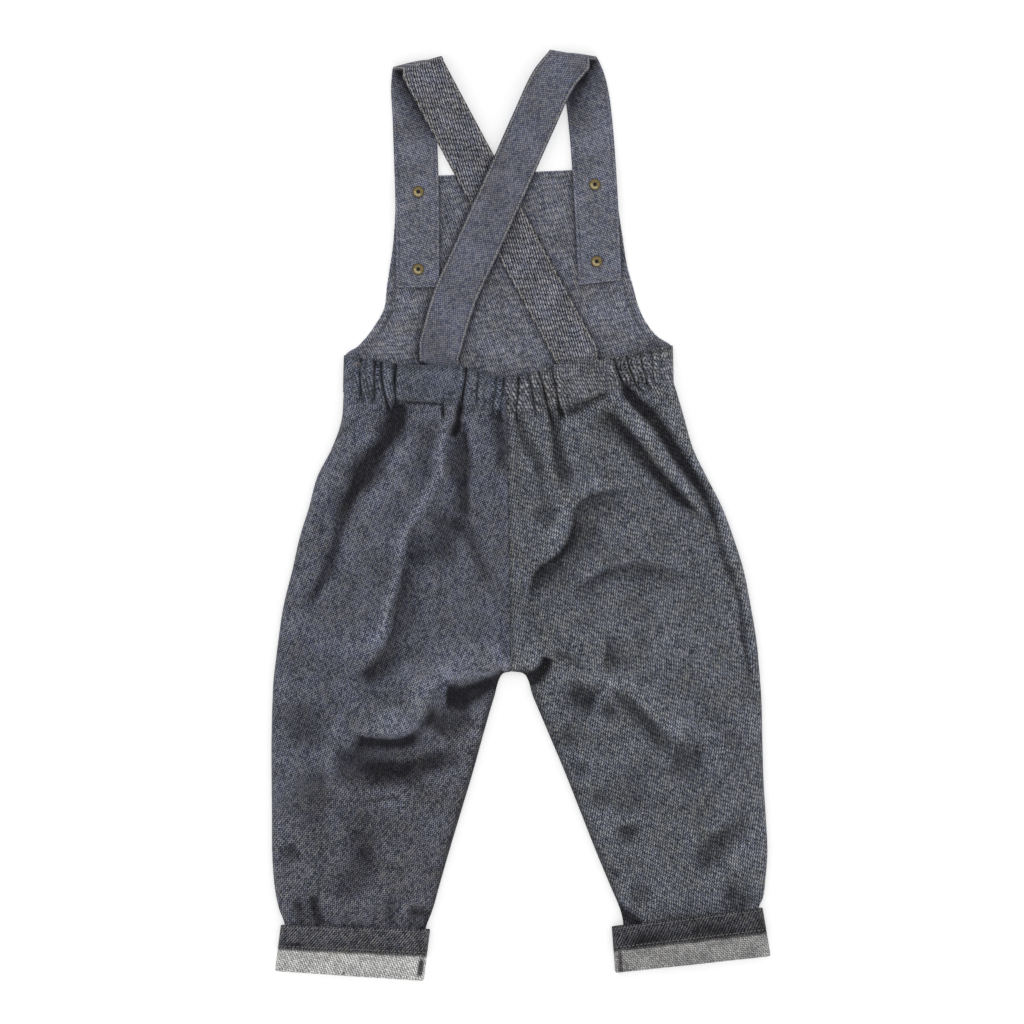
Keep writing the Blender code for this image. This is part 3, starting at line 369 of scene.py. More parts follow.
CREASES = (
    # Left leg: the long fold down from the casing's outer end, between two rims
    Crease(-7.0, 8.2, 8.2, 0.02, 0.40, ((-90, 90), (-93, 76), (-99, 63), (-107, 49), (-116, 36),
        (-126, 21), (-136, 8), (-144, -5))),
    Crease(-1.4, 6.0, 6.0, 0.02, 0.40, ((-90, 90), (-93, 78), (-100, 60))),
    Crease(-4.2, 4.5, 5.2, 0.35, 0.18, ((-111, 42), (-123, 22), (-131, 6), (-135, -6), (-140, -22),
        (-144, -35), (-148, -48), (-155, -60), (-169, -71))),
    Crease(-1.8, 6.8, 6.8, 0.30, 0.40, ((-150, 15), (-150, -3), (-153, -23))),
    Crease(2.0, 5.2, 8.2, 0.15, 0.30, ((-103, 72), (-121, 49), (-141, 31), (-154, 9), (-160, -18),
        (-166, -45))),
    Crease(2.2, 9.8, 4.5, 0.20, 0.30, ((-82, 72), (-88, 49), (-100, 27), (-114, 8), (-121, -18),
        (-130, -48))),
    # The crest down the middle of the thigh, and the hollow beside it
    Crease(5.0, 2.8, 4.2, 0.04, 0.30, ((-54, 77), (-59, 63), (-61, 48), (-60, 34), (-67, 19), (-77, 5),
        (-86, -10), (-90, -22), (-91, -35), (-96, -51), (-99, -66), (-103, -81), (-112, -97),
        (-123, -112), (-132, -126))),
    Crease(-2.2, 6.8, 7.5, 0.20, 0.40, ((-69, 72), (-72, 53), (-74, 34), (-81, 18))),
    # The deep fold between the crest and the centre seam
    Crease(-5.2, 3.8, 10.5, 0.08, 0.25, ((-43, 72), (-44, 63), (-43, 52), (-42, 40), (-42, 25), (-42, 12),
        (-45, -3), (-48, -15))),
    Crease(-6.5, 2.6, 3.0, 0.05, 0.20, ((-43, 88), (-45, 79), (-47, 72), (-50, 64), (-54, 58))),
    Crease(2.6, 2.2, 2.2, 0.20, 0.30, ((-33, 69), (-40, 66), (-47, 63))),
    Crease(-4.4, 10.5, 12.0, 0.25, 0.35, ((-52, 3), (-57, -18), (-57, -42))),
    Crease(-2.8, 7.5, 7.5, 0.30, 0.40, ((-70, -8), (-78, -24), (-82, -42))),
    Crease(-3.8, 12.8, 3.0, 0.25, 0.12, ((-90, -15), (-89, -30), (-89, -45), (-90, -62), (-93, -77),
        (-98, -92), (-105, -106), (-114, -117), (-127, -124))),
    Crease(-1.8, 10.5, 6.0, 0.40, 0.35, ((-97, -97), (-105, -108), (-113, -117), (-124, -124))),
    # Beside the centre seam
    Crease(-4.4, 5.2, 4.5, 0.00, 0.30, ((-17, 84), (-16, 68), (-16, 49), (-15, 27))),
    Crease(-3.0, 3.8, 3.8, 0.00, 0.50, ((-18, 84), (-18, 69))),
    Crease(-2.8, 4.5, 6.0, 0.30, 0.30, ((-42, 1), (-37, -17), (-29, -38), (-21, -50), (-14, -51))),
    # The bulge from the crotch to the thigh, with its shadow and small fans
    Crease(5.4, 3.4, 16.5, 0.02, 0.20, ((-10, -111), (-31, -117), (-49, -119), (-60, -120), (-69, -129),
        (-73, -143), (-79, -153), (-90, -159), (-106, -161), (-123, -159), (-133, -153))),
    Crease(-9.0, 7.5, 6.0, 0.00, 0.06, ((-12, -123), (-24, -127), (-36, -131), (-48, -134), (-57, -134))),
    Crease(-4.6, 12.8, 11.2, 0.25, 0.25, ((-33, -143), (-49, -149), (-61, -156), (-70, -165))),
    Crease(-2.4, 3.0, 3.8, 0.30, 0.30, ((-63, -143), (-71, -156), (-82, -164))),
    Crease(-4.8, 6.0, 2.2, 0.20, 0.20, ((-76, -159), (-85, -166), (-100, -169), (-117, -168),
        (-129, -165))),
    Crease(2.6, 4.5, 4.5, 0.10, 0.35, ((-30, -159), (-43, -167), (-57, -173), (-70, -175))),
    # The knee
    Crease(-5.6, 8.2, 9.0, 0.25, 0.35, ((-40, -176), (-57, -183), (-76, -189), (-97, -194), (-118, -198),
        (-138, -204))),
    Crease(-3.6, 10.5, 9.0, 0.30, 0.30, ((-66, -174), (-94, -178), (-120, -180), (-138, -183))),
    Crease(-3.2, 10.5, 6.0, 0.30, 0.30, ((-129, -170), (-133, -186), (-136, -203))),
    Crease(2.0, 3.0, 4.5, 0.20, 0.50, ((-131, -143), (-138, -159), (-142, -172), (-145, -187),
        (-144, -206), (-139, -228), (-135, -249))),
    # Soft hollows and rises on the lower leg, and a thin line across it
    Crease(-3.2, 15.8, 13.5, 0.30, 0.30, ((-165, -135), (-163, -155), (-166, -177))),
    Crease(-2.8, 10.5, 10.5, 0.30, 0.30, ((-154, -183), (-153, -213), (-157, -243))),
    Crease(-2.8, 6.8, 6.8, 0.30, 0.30, ((-178, -245), (-174, -251), (-166, -248))),
    Crease(1.8, 18.0, 18.0, 0.30, 0.30, ((-111, -56), (-123, -86), (-132, -117))),
    Crease(-2.4, 2.2, 2.2, 0.30, 0.30, ((-127, -214), (-106, -213), (-87, -211))),
    # The shin
    Crease(-3.8, 9.8, 9.0, 0.30, 0.25, ((-109, -245), (-120, -261), (-129, -278), (-139, -291))),
    Crease(-2.4, 10.5, 10.5, 0.35, 0.35, ((-117, -231), (-120, -245), (-123, -257))),
    Crease(-2.0, 21.0, 18.0, 0.30, 0.30, ((-114, -210), (-121, -236), (-127, -266))),
    # Where the leg is pressed into its cuff
    Crease(-3.6, 3.4, 3.4, 0.35, 0.05, ((-168, -283), (-168, -308))),
    Crease(-5.0, 3.8, 3.4, 0.35, 0.05, ((-156, -278), (-153, -308))),
    Crease(-1.8, 6.8, 6.8, 0.35, 0.05, ((-162, -288), (-160, -308))),
    Crease(-3.2, 4.5, 4.5, 0.35, 0.05, ((-98, -282), (-97, -308))),
    Crease(-4.8, 3.8, 3.8, 0.35, 0.05, ((-87, -297), (-69, -300))),
    Crease(-3.6, 3.0, 3.0, 0.35, 0.05, ((-88, -306), (-69, -309))),
    # Right leg: the long fold down from the casing's outer end, with its rims
    Crease(-8.0, 4.5, 4.9, 0.05, 0.25, ((71, 111), (78, 96), (86, 85), (95, 76), (111, 55), (127, 32),
        (140, 9), (146, -11))),
    Crease(-1.5, 5.2, 5.2, 0.20, 0.40, ((84, 88), (90, 81), (99, 69))),
    Crease(-3.4, 3.0, 3.0, 0.20, 0.15, ((138, 12), (146, -11), (153, -32), (160, -50))),
    Crease(-3.6, 2.7, 2.7, 0.20, 0.25, ((153, -30), (159, -50), (164, -71), (167, -89), (169, -112),
        (171, -141))),
    Crease(3.4, 3.8, 3.8, 0.15, 0.15, ((80, 78), (93, 63), (106, 45), (122, 25), (136, 6))),
    Crease(2.6, 6.8, 4.5, 0.20, 0.30, ((107, 81), (122, 57), (137, 31), (149, 7), (158, -22), (165, -52),
        (171, -82))),
    # The shorter fold beside it
    Crease(-6.0, 3.8, 6.8, 0.12, 0.25, ((54, 78), (68, 72), (83, 57), (99, 37), (117, 15), (135, -3))),
    Crease(-2.4, 2.6, 3.0, 0.30, 0.10, ((99, 37), (117, 15), (135, -3), (144, -9))),
    # The bar below the strap's end
    Crease(-5.2, 3.8, 3.0, 0.20, 0.25, ((69, 92), (53, 87), (38, 81), (27, 78))),
    Crease(-2.0, 3.8, 3.8, 0.30, 0.30, ((33, 81), (26, 77))),
    # The curved fold over the seat, and the arc below it
    Crease(2.4, 2.0, 5.2, 0.20, 0.30, ((89, 23), (66, 23), (48, 20), (37, 12), (31, -6), (21, -20),
        (9, -33))),
    Crease(-4.0, 18.0, 2.1, 0.25, 0.30, ((89, 18), (68, 17), (51, 14), (42, 3), (39, -12), (29, -27),
        (15, -40), (8, -54), (6, -67), (6, -84))),
    Crease(-1.8, 6.8, 2.0, 0.30, 0.40, ((44, 7), (39, -12), (29, -27), (15, -40), (8, -54), (6, -78))),
    Crease(1.0, 2.2, 5.2, 0.30, 0.30, ((89, -33), (70, -35), (53, -42), (39, -54))),
    Crease(-3.4, 8.2, 3.0, 0.45, 0.20, ((146, -47), (126, -45), (104, -41), (86, -39), (72, -40),
        (57, -47), (46, -56), (33, -66))),
    # Down from the gathers beside the centre seam
    Crease(-3.4, 3.8, 3.8, 0.02, 0.50, ((-3, 87), (-1, 72), (3, 57), (12, 39), (16, 19), (21, -6))),
    Crease(-4.6, 6.0, 3.8, 0.02, 0.20, ((22, 85), (24, 72), (26, 59), (28, 37), (32, 18))),
    Crease(1.2, 3.0, 3.8, 0.15, 0.30, ((18, 78), (19, 57), (18, 38), (18, 19), (24, 8))),
    Crease(-2.4, 6.8, 6.8, 0.35, 0.35, ((11, 12), (18, 3), (23, -12))),
    # The rolled edge and the hollow at the crotch
    Crease(2.6, 6.8, 2.2, 0.08, 0.25, ((-14, -111), (-4, -111), (6, -110), (15, -105), (19, -99))),
    Crease(-11.0, 4.5, 4.5, 0.03, 0.10, ((1, -123), (11, -120), (18, -114), (21, -106))),
    Crease(-2.2, 2.2, 2.2, 0.10, 0.30, ((22, -102), (35, -106), (44, -111), (50, -119))),
    # A short step above the thigh
    Crease(-3.2, 10.5, 3.0, 0.35, 0.30, ((63, -86), (65, -102), (68, -123))),
    Crease(1.4, 3.0, 3.8, 0.30, 0.30, ((60, -86), (58, -101), (57, -114))),
    # The shelf across the thigh, with the hollows below it
    Crease(3.0, 10.5, 3.0, 0.15, 0.30, ((26, -117), (48, -121), (66, -125), (83, -134), (96, -147),
        (110, -160), (126, -168), (144, -170))),
    Crease(-5.0, 9.8, 9.8, 0.45, 0.30, ((26, -132), (38, -134), (50, -137), (60, -141))),
    Crease(-3.4, 3.8, 4.5, 0.35, 0.35, ((56, -138), (63, -144), (72, -153))),
    Crease(-4.0, 6.8, 6.0, 0.25, 0.35, ((62, -132), (74, -140), (86, -149), (98, -162), (110, -173),
        (125, -177))),
    Crease(-3.6, 12.0, 11.2, 0.30, 0.30, ((110, -177), (125, -181), (140, -178))),
    # Small hollows along the inside leg
    Crease(-3.8, 7.5, 6.8, 0.35, 0.50, ((26, -161), (35, -168), (47, -174))),
    Crease(-3.0, 5.2, 5.2, 0.30, 0.30, ((32, -186), (41, -189), (51, -192))),
    Crease(-2.6, 6.0, 6.0, 0.40, 0.40, ((51, -207), (59, -213), (69, -219))),
    Crease(-4.2, 3.8, 8.2, 0.40, 0.50, ((68, -240), (80, -234), (96, -231))),
    Crease(-3.2, 3.8, 5.2, 0.35, 0.45, ((61, -261), (68, -267), (76, -273))),
    Crease(-2.2, 10.5, 10.5, 0.30, 0.30, ((85, -180), (84, -202), (81, -228))),
    Crease(-3.0, 8.2, 8.2, 0.30, 0.30, ((95, -273), (89, -284), (81, -291))),
    # The shin and the cuff's two corners
    Crease(-4.2, 9.0, 7.5, 0.40, 0.35, ((177, -228), (162, -235), (152, -241), (139, -255), (123, -273))),
    Crease(2.0, 9.0, 9.0, 0.30, 0.30, ((179, -251), (162, -257), (146, -269), (132, -282))),
    Crease(-4.4, 9.0, 8.2, 0.40, 0.15, ((146, -278), (161, -287), (171, -295))),
    Crease(-7.5, 3.8, 5.2, 0.02, 0.10, ((72, -296), (80, -301), (90, -309))),
    # Soft marks on the outer thigh
    Crease(-1.8, 5.2, 5.2, 0.30, 0.30, ((157, -158), (158, -176))),
    Crease(1.4, 19.5, 19.5, 0.30, 0.30, ((123, -56), (129, -93), (128, -138))),
)

GATHERS = (
    Gather(-119.6, -119.6, -120.4, 10.5, 4.4, 1.6, -3.0),
    Gather(-116.2, -112.9, -111.4, 9.0, 2.1, 1.3, -1.5),
    Gather(-109.1, -109.9, -116.6, 6.0, 5.7, 1.4, -3.0),
    Gather(-105.4, -100.9, -99.4, 13.5, 5.7, 1.6, -3.0),
    Gather(-93.8, -93.4, -94.1, 7.5, 6.6, 1.7, -4.5),
    Gather(-58.1, -58.1, -58.1, 13.5, 5.4, 1.4, 22.5),
    Gather(-41.2, -43.9, -49.1, 12.0, 6.6, 1.7, -4.5),
    Gather(-32.6, -32.6, -32.6, 1.5, 3.1, 1.4, -3.0),
    Gather(-19.1, -20.6, -22.1, 6.0, 3.4, 1.2, -3.0),
    Gather(-13.9, -14.6, -14.6, 9.0, 4.2, 1.2, -3.0),
    Gather(-2.2, -2.6, -1.1, 10.5, 4.7, 1.4, -3.0),
    Gather(4.1, 10.9, 13.9, 10.5, 4.3, 1.2, -3.0),
    Gather(12.4, 20.6, 25.9, 15.0, 5.7, 1.4, -3.0),
    Gather(22.5, 28.9, 34.9, 12.0, 5.7, 1.4, -3.0),
    Gather(32.6, 35.6, 40.1, 7.5, 1.8, 1.3, -1.5),
    Gather(47.6, 51.4, 52.9, 3.0, 1.3, 1.3, -1.5),
    Gather(68.6, 79.9, 88.9, 7.5, 6.0, 1.6, -3.8),
    Gather(73.1, 83.6, 91.9, 4.5, 2.8, 1.2, -3.0),
    Gather(77.6, 88.9, 97.9, 7.5, 5.4, 1.4, -3.8),
    Gather(83.6, 93.4, 99.4, 4.5, 2.6, 1.2, -3.0),
    Gather(87.4, 96.4, 102.4, 9.0, 5.0, 1.4, -3.8),
    Gather(96.4, 100.9, 103.9, 6.0, 2.0, 1.4, -2.2),
)
FRONT_CREASES = (
    Crease(0.45, 6, 9, 0.2, 0.3, ((-120, 60), (-130, 20), (-145, -30), (-150, -70))),
    Crease(0.45, 5, 8, 0.2, 0.3, ((-60, 70), (-66, 30), (-80, -20), (-95, -80))),
    Crease(0.40, 8, 6, 0.2, 0.3, ((-20, -120), (-50, -135), (-90, -150), (-140, -160))),
    Crease(0.35, 9, 9, 0.3, 0.3, ((-70, -200), (-110, -215), (-160, -210))),
    Crease(0.45, 6, 9, 0.2, 0.3, ((70, 70), (95, 30), (120, -20), (140, -80))),
    Crease(0.45, 7, 6, 0.2, 0.3, ((10, -125), (50, -140), (90, -150), (150, -170))),
    Crease(0.35, 8, 8, 0.3, 0.3, ((70, -220), (110, -230), (160, -245))),
)
LOOKS = {
    "leg_left": Cloth((0.006, 0.007, 0.012), (0.286, 0.299, 0.374),
                      20.0, 1.80, 3.6, 0.20, 0.48, 0.30, 0.32, 0.85),
    "leg_left_low": Cloth((0.006, 0.007, 0.010), (0.316, 0.322, 0.382),
                          38.0, 1.80, 3.8, 0.12, 0.68, 0.36, 0.35, 0.70),
    "leg_right": Cloth((0.004, 0.004, 0.006), (0.500, 0.528, 0.606),
                       8.0, 1.75, 3.2, 0.14, 0.82, 0.60, 0.36, 0.42),
    "casing": Cloth((0.008, 0.009, 0.013), (0.245, 0.268, 0.342),
                    20.0, 1.80, 3.0, 0.20, 0.45, 0.30, 0.30, 0.80),
    "casing_right": Cloth((0.004, 0.004, 0.006), (0.500, 0.515, 0.580),
                          -20.0, 1.75, 3.4, 0.20, 0.80, 0.60, 0.45, 0.30),
    "bib": Cloth((0.008, 0.009, 0.015), (0.545, 0.560, 0.668),
                 -18.0, 1.75, 4.4, 0.07, 0.62, 0.42, 0.28, 0.46),
    "strap_left": Cloth((0.001, 0.001, 0.003), (0.735, 0.745, 0.860),
                        12.0, 1.85, 4.0, 0.15, 0.95, 0.62, 0.25, 0.30),
    "strap_right": Cloth((0.014, 0.016, 0.026), (0.310, 0.318, 0.396),
                         28.0, 2.10, 3.0, 0.35, 0.22, 0.22, 0.22, 0.72),
    "limb": Cloth((0.010, 0.011, 0.018), (0.392, 0.406, 0.506),
                  64.0, 2.00, 3.0, 0.35, 0.30, 0.26, 0.24, 0.72),
    "cuff": Cloth((0.12, 0.12, 0.115), (1.36, 1.36, 1.33),
                  -36.0, 1.80, 4.5, 0.10, 0.60, 0.20, 0.15, 0.55, 0.2),
    "band": Cloth((0.002, 0.002, 0.004), (0.360, 0.360, 0.402),
                  38.0, 1.80, 4.0, 0.10, 1.00, 0.35, 0.35, 0.45),
}


# ---------------------------------------------------------------- lines and distances

def smooth(t):
    """An S-shaped step from 0 at 0 to 1 at 1."""
    t = np.clip(t, 0.0, 1.0)
    return t * t * (3.0 - 2.0 * t)


def bell(distance, width):
    """1 at no distance, falling off alike to both sides."""
    return np.exp(-(distance / width) ** 2)


def unit(vector):
    vector = np.array(vector, float)
    return vector / np.maximum(np.linalg.norm(vector, axis=-1, keepdims=True), 1e-9)


def curve(points, per_span):
    """A centripetal spline through the points, with per_span steps from each to the next."""
    p = np.array(points, float)
    p = np.vstack([2.0 * p[0] - p[1], p, 2.0 * p[-1] - p[-2]])
    steps = np.arange(per_span)[:, None] / per_span
    out = []
    for a, b, c, d in zip(p[:-3], p[1:-2], p[2:-1], p[3:]):
        k0 = 0.0
        k1 = k0 + math.sqrt(np.linalg.norm(b - a)) + 1e-6
        k2 = k1 + math.sqrt(np.linalg.norm(c - b)) + 1e-6
        k3 = k2 + math.sqrt(np.linalg.norm(d - c)) + 1e-6
        k = k1 + (k2 - k1) * steps
        ab = a + (b - a) * (k - k0) / (k1 - k0)
        bc = b + (c - b) * (k - k1) / (k2 - k1)
        cd = c + (d - c) * (k - k2) / (k3 - k2)
        abc = ab + (bc - ab) * (k - k0) / (k2 - k0)
        bcd = bc + (cd - bc) * (k - k1) / (k3 - k1)
        out.append(abc + (bcd - abc) * (k - k1) / (k2 - k1))
    return np.vstack(out + [p[-2:-1]])


def sides(table):
    """The points where a table's sections start, and those where they end."""
    return [section[:2] for section in table], [section[2:] for section in table]


def leg_edge(points, per_span):
    """A leg's edge, with a corner at the crotch, where the seam meets the inside leg."""
    return np.vstack([curve(points[:CROTCH + 1], per_span)[:-1], curve(points[CROTCH:], per_span)])


def run_along(points, axis=0):
    """The length to each point along a line, or along a grid's columns (axis 0) or rows (axis 1)."""
    steps = np.linalg.norm(np.diff(points, axis=axis), axis=-1)
    return np.concatenate([np.zeros_like(steps.take([0], axis)), np.cumsum(steps, axis)], axis)


def nearest(path, x, y):
    """Signed distance to a path, above 0 to its left, and the share of its length there."""
    a, b = path[:-1], path[1:]
    along = b - a
    length2 = np.maximum((along ** 2).sum(1), 1e-9)
    px = x[:, None] - a[None, :, 0]
    py = y[:, None] - a[None, :, 1]
    t = np.clip((px * along[:, 0] + py * along[:, 1]) / length2, 0.0, 1.0)
    gap = np.hypot(px - t * along[:, 0], py - t * along[:, 1])
    k = gap.argmin(1)
    rows = np.arange(len(x))
    side = np.sign(along[k, 0] * py[rows, k] - along[k, 1] * px[rows, k])
    lengths = np.concatenate([[0.0], np.cumsum(np.sqrt(length2))])
    return gap[rows, k] * side, (lengths[k] + t[rows, k] * np.sqrt(length2[k])) / lengths[-1]


def within(path, x, y, reach):
    """Which places lie in a path's box, grown by reach."""
    lo, hi = path.min(0) - reach, path.max(0) + reach
    return (x > lo[0]) & (x < hi[0]) & (y > lo[1]) & (y < hi[1])


def near_path(path, x, y, reach):
    """Distance to a path, cut off at reach, worked out only where it matters."""
    out = np.full(len(x), float(reach))
    close = within(path, x, y, reach)
    if close.any():
        out[close] = np.minimum(np.abs(nearest(path, x[close], y[close])[0]), reach)
    return out


def line_y(table, x):
    """Where a line that runs across the garment is, at x."""
    points = curve(table, EVEN_SPLINE)
    return np.interp(x, points[:, 0], points[:, 1])


def over(plan, field):
    """A field of x and y, worked out over a grid."""
    return field(plan[..., 0].ravel(), plan[..., 1].ravel()).reshape(plan.shape[:2])


def lifted(plan, height):
    return np.dstack([plan, over(plan, height)])


# ---------------------------------------------------------------- heights of the cloth

LEGS = {"left": LEFT_LEG, "right": RIGHT_LEG}
SEAM = curve([CASING_TOP[CENTRE]] + sides(RIGHT_LEG[:CROTCH + 1])[1], EVEN_SPLINE)
CROTCH_LINE = np.array([table[CROTCH + 1][2:] for table in LEGS.values()])
SIDE_SEAMS = [curve(sides(table)[0], EVEN_SPLINE) for table in LEGS.values()]
INSIDE_LEGS = [curve(sides(table)[1][CROTCH + 1:], EVEN_SPLINE) for table in LEGS.values()]
CASING_ENDS = [np.array([table[0][:2], corner])
               for table, corner in zip(LEGS.values(), (CASING_TOP[0], CASING_TOP[-1]))]
ROUNDED = [CROTCH_LINE, *SIDE_SEAMS, *CASING_ENDS, *INSIDE_LEGS]   # edges at which the back is rounded
SHADED_EDGES = (        # lines along which shade is painted, how dark and how wide
    (CROTCH_LINE, 0.9, 3.0), (INSIDE_LEGS[0], 0.75, 5.0), (INSIDE_LEGS[1], 0.65, 4.5), (SEAM, 0.55, 1.0))


def add_crease(rise, crease, x, y, scale):
    """Add a crease to the rise. Its line and width stray, in waves of so many millimetres a radian."""
    path = curve(crease.points, EVEN_SPLINE)
    close = within(path, x, y, CREASE_REACH * max(crease.left, crease.right))
    if not close.any():
        return
    px, py = x[close], y[close]
    stray_x, stray_y = WAVER * np.sin(py / 9.0 + px / 31.0), WAVER * np.sin(px / 8.0 + py / 27.0)
    gap, along = nearest(path, px + stray_x, py + stray_y)
    width = np.where(gap > 0.0, crease.left, crease.right) * (1.0 + SWELL * np.sin(px / 12.0 + py / 7.0))
    taper = smooth(along / max(crease.start, 1e-6)) * smooth((1.0 - along) / max(crease.end, 1e-6))
    rise[close] += crease.height * np.exp(-np.abs(gap / width) ** CREASE_POWER) * taper * scale[close]


def gather_crease(gather):
    foot = float(line_y(CASING_FOOT, gather.foot))
    top = float(line_y(CASING_TOP, gather.top))
    points = ((gather.top, top - gather.start), (gather.foot, foot), (gather.end, foot - gather.run))
    return Crease(-gather.depth, gather.width * GATHER_STEEP, gather.width * GATHER_SLOW,
                  0.0, GATHER_END, points)


def cuff_fade(x, y):
    """1 clear of the cuffs, falling to 0 where a leg enters its cuff."""
    out = np.ones(len(x))
    for top_left, top_right, *_ in CUFFS.values():
        along = np.subtract(top_right, top_left)
        above = (y - top_left[1]) - (x - top_left[0]) * along[1] / along[0]
        close = (x > top_left[0] - CUFF_REACH) & (x < top_right[0] + CUFF_REACH)
        out = np.where(close, smooth(above / CUFF_FADE), out)
    return out


def front_under(x, y):
    """The front leg's underside rises to pass over the cuff's lower wall."""
    return (CUFF_WALL + SEAM_GAP) * (1.0 - cuff_fade(x, y))


def back_rest(x, y):
    """Where the back's underside would lie if it lay dead flat on the front."""
    return front_under(x, y) + CLOTH + SEAM_GAP


def unevenness(x, y):
    """The slight waviness of cloth that was laid down by hand: three trains of waves, in millimetres."""
    return (0.22 * np.sin(x / 6.1 + 0.9 * np.sin(y / 17.0)) * np.sin(y / 9.3 + 1.7)
            + 0.20 * np.sin((x + y) / 8.7 + 1.1 * np.sin(x / 23.0))
            + 0.16 * np.sin((x - 1.4 * y) / 5.2 + 0.8 * np.sin(y / 11.0)))


def puckers(x, y):
    """Fine gathers between the large ones, in the casing and just below it."""
    below = np.maximum(line_y(CASING_FOOT, x) - y, 0.0)
    wave = np.sin(x / 0.78 + 0.5 * np.sin(x / 5.0) + y / 30.0) + 0.8 * np.sin(x / 1.13 + 2.0 - y / 21.0)
    return PUCKER * wave * (1.0 - smooth(below / PUCKER_REACH))


def flatness(x, y):
    """1 over a strap's end, where the casing lies flat, and 0 where it is gathered."""
    gap = np.min([near_path(np.array(line), x, y, FAR) for line in STRAP_ENDS], axis=0)
    return 1.0 - smooth((gap - END_FLAT) / END_FADE)


def folds(x, y, spread):
    """What the troughs and gathers take from the back's height, and what the ridges add."""
    below = smooth((line_y(CASING_FOOT, x) - y) / (2 * FOLD_CLEAR) + 0.5)
    gathered = END_GATHER + (1.0 - END_GATHER) * (1.0 - flatness(x, y))
    trough, ridge = np.zeros(len(x)), np.zeros(len(x))
    for crease in CREASES:
        wider = crease._replace(left=crease.left * spread, right=crease.right * spread)
        add_crease(trough if crease.height < 0 else ridge, wider, x, y, below)
    for gather in GATHERS:
        add_crease(trough, gather_crease(gather), x, y, gathered)
    return trough, ridge


def fold_shade_and_highlight(x, y):
    """Painted shade for each place down in a trough, along the darker edges and under the casing's foot; and
    a lighter mark up on a ridge, partly wear and partly painted highlight.
    """
    trough, ridge = folds(x, y, MARK_SPREAD)
    shade = -trough / FULL_SHADE - RIDGE_LIGHT * ridge / FULL_WEAR_AND_LIGHT
    for path, mark, width in SHADED_EDGES:
        shade = np.maximum(shade, mark * bell(near_path(path, x, y, 4.0 * width), width))
    foot = flatness(x, y) * bell(line_y(CASING_FOOT, x) - y, FOOT_LINE)
    shade = np.maximum(shade, FOOT_SHADE * foot)
    return np.clip(shade, 0.0, 1.0), np.clip(ridge / FULL_WEAR_AND_LIGHT + trough / FULL_SHADE, 0.0, 1.0)


def back_rise(x, y):
    """How far the back stands above that: its loft, its rounded edges, gathers and creases."""
    edge = np.min([near_path(path, x, y, ROLL) for path in ROUNDED], axis=0)
    roll = np.sqrt(np.clip(1.0 - (1.0 - edge / ROLL) ** 2, 0.0, 1.0))
    foot = line_y(CASING_FOOT, x)
    rise = LOFT + WAIST_LOFT * smooth(1.0 - (foot - y) / WAIST_REACH)
    trough, ridge = folds(x, y, FORM_SPREAD)
    rise += (trough + ridge) * DEEPER + puckers(x, y) * (1.0 - flatness(x, y)) + unevenness(x, y)
    rise = 0.5 * (rise + np.sqrt(rise ** 2 + FLAT_RISE))
    return rise * roll * (CUFF_RISE + (1.0 - CUFF_RISE) * cuff_fade(x, y))


def back_mid(x, y):
    return back_rest(x, y) + CLOTH / 2 + back_rise(x, y)


def felled_seam(x, y):
    """The centre-back seam's allowances lie to the right of it and make a flat raised band."""
    gap, _ = nearest(SEAM, x, y)
    return FELL_RISE * smooth(gap / FELL_EDGES[0]) * smooth((FELL_WIDTH - gap) / FELL_EDGES[1])


def leg_mid(x, y):
    return back_mid(x, y) + felled_seam(x, y)


def casing_mid(x, y):
    step = CASING_STEP[0] + (CASING_STEP[1] - CASING_STEP[0]) * flatness(x, y)
    return back_mid(x, y) + step + felled_seam(x, y) + CLOTH / 2 - CASING_THICK / 2


def bib_lift(x, y):
    """The bib stands on its button caps: a flat-topped rise under each strap's end."""
    lift = np.zeros(len(x))
    for side in LEGS:
        pair = np.array([BUTTONS["button_%s_upper" % side], BUTTONS["button_%s_lower" % side]])
        gap = near_path(pair, x, y, FAR)
        lift = np.maximum(lift, 1.0 - smooth((gap - LIFT_FLAT) / LIFT_FADE))
    return lift * (BUTTON_CAP[1] + SEAM_GAP)


def bib_mid(x, y):
    return bib_lift(x, y) + HEMMED / 2 + BIB_WAVE * (1 + np.sin(x / 9.0 + np.sin(y / 12.0)))


def limb_height(x, y):
    return bib_lift(x, y) + HEMMED + LAY_GAP + STRAP_THICK / 2


# ---------------------------------------------------------------- meshes

def edge_places(length, count, thick):
    """Places across a row: close together where the shell's edge is rounded, even in between."""
    r = thick / 2
    edge = [share * r for share in EDGE_SHARES] + [r + step for step in EDGE_STEPS]
    middle = np.linspace(edge[-1], length - edge[-1], count - 2 * (len(edge) - 1))
    return np.concatenate([edge[:-1], middle, length - np.array(edge[:-1])[::-1]])


def rows_between(starts, ends, count, thick):
    """A grid of plan positions: a row from each start to its end."""
    rows = []
    for a, b in zip(starts, ends):
        length = np.linalg.norm(b - a)
        rows.append(a + (b - a) * (edge_places(length, count, thick) / length)[:, None])
    return np.array(rows)


def grid_normals(grid):
    return unit(np.cross(np.gradient(grid, axis=0), np.gradient(grid, axis=1)))


def edge_distance(grid):
    """Each grid point's distance along the cloth to the piece's nearest edge."""
    runs = [run_along(grid, axis) for axis in (0, 1)]
    return np.min(runs + [run.take([-1], axis) - run for axis, run in enumerate(runs)], axis=0)


def cloth_uv(grid, middle=0.5):
    """Lengths along the cloth, metres, so that the weave follows it over its creases."""
    grid = grid * (1.0, 1.0, UV_DEPTH)
    across = run_along(grid, 1)
    k = int(middle * (grid.shape[1] - 1))
    u = across - across[:, [k]] + grid[:, [k], 0]
    v = grid[0][None, :, 1] - run_along(grid, 0)
    return np.stack([u, v], -1) * MM


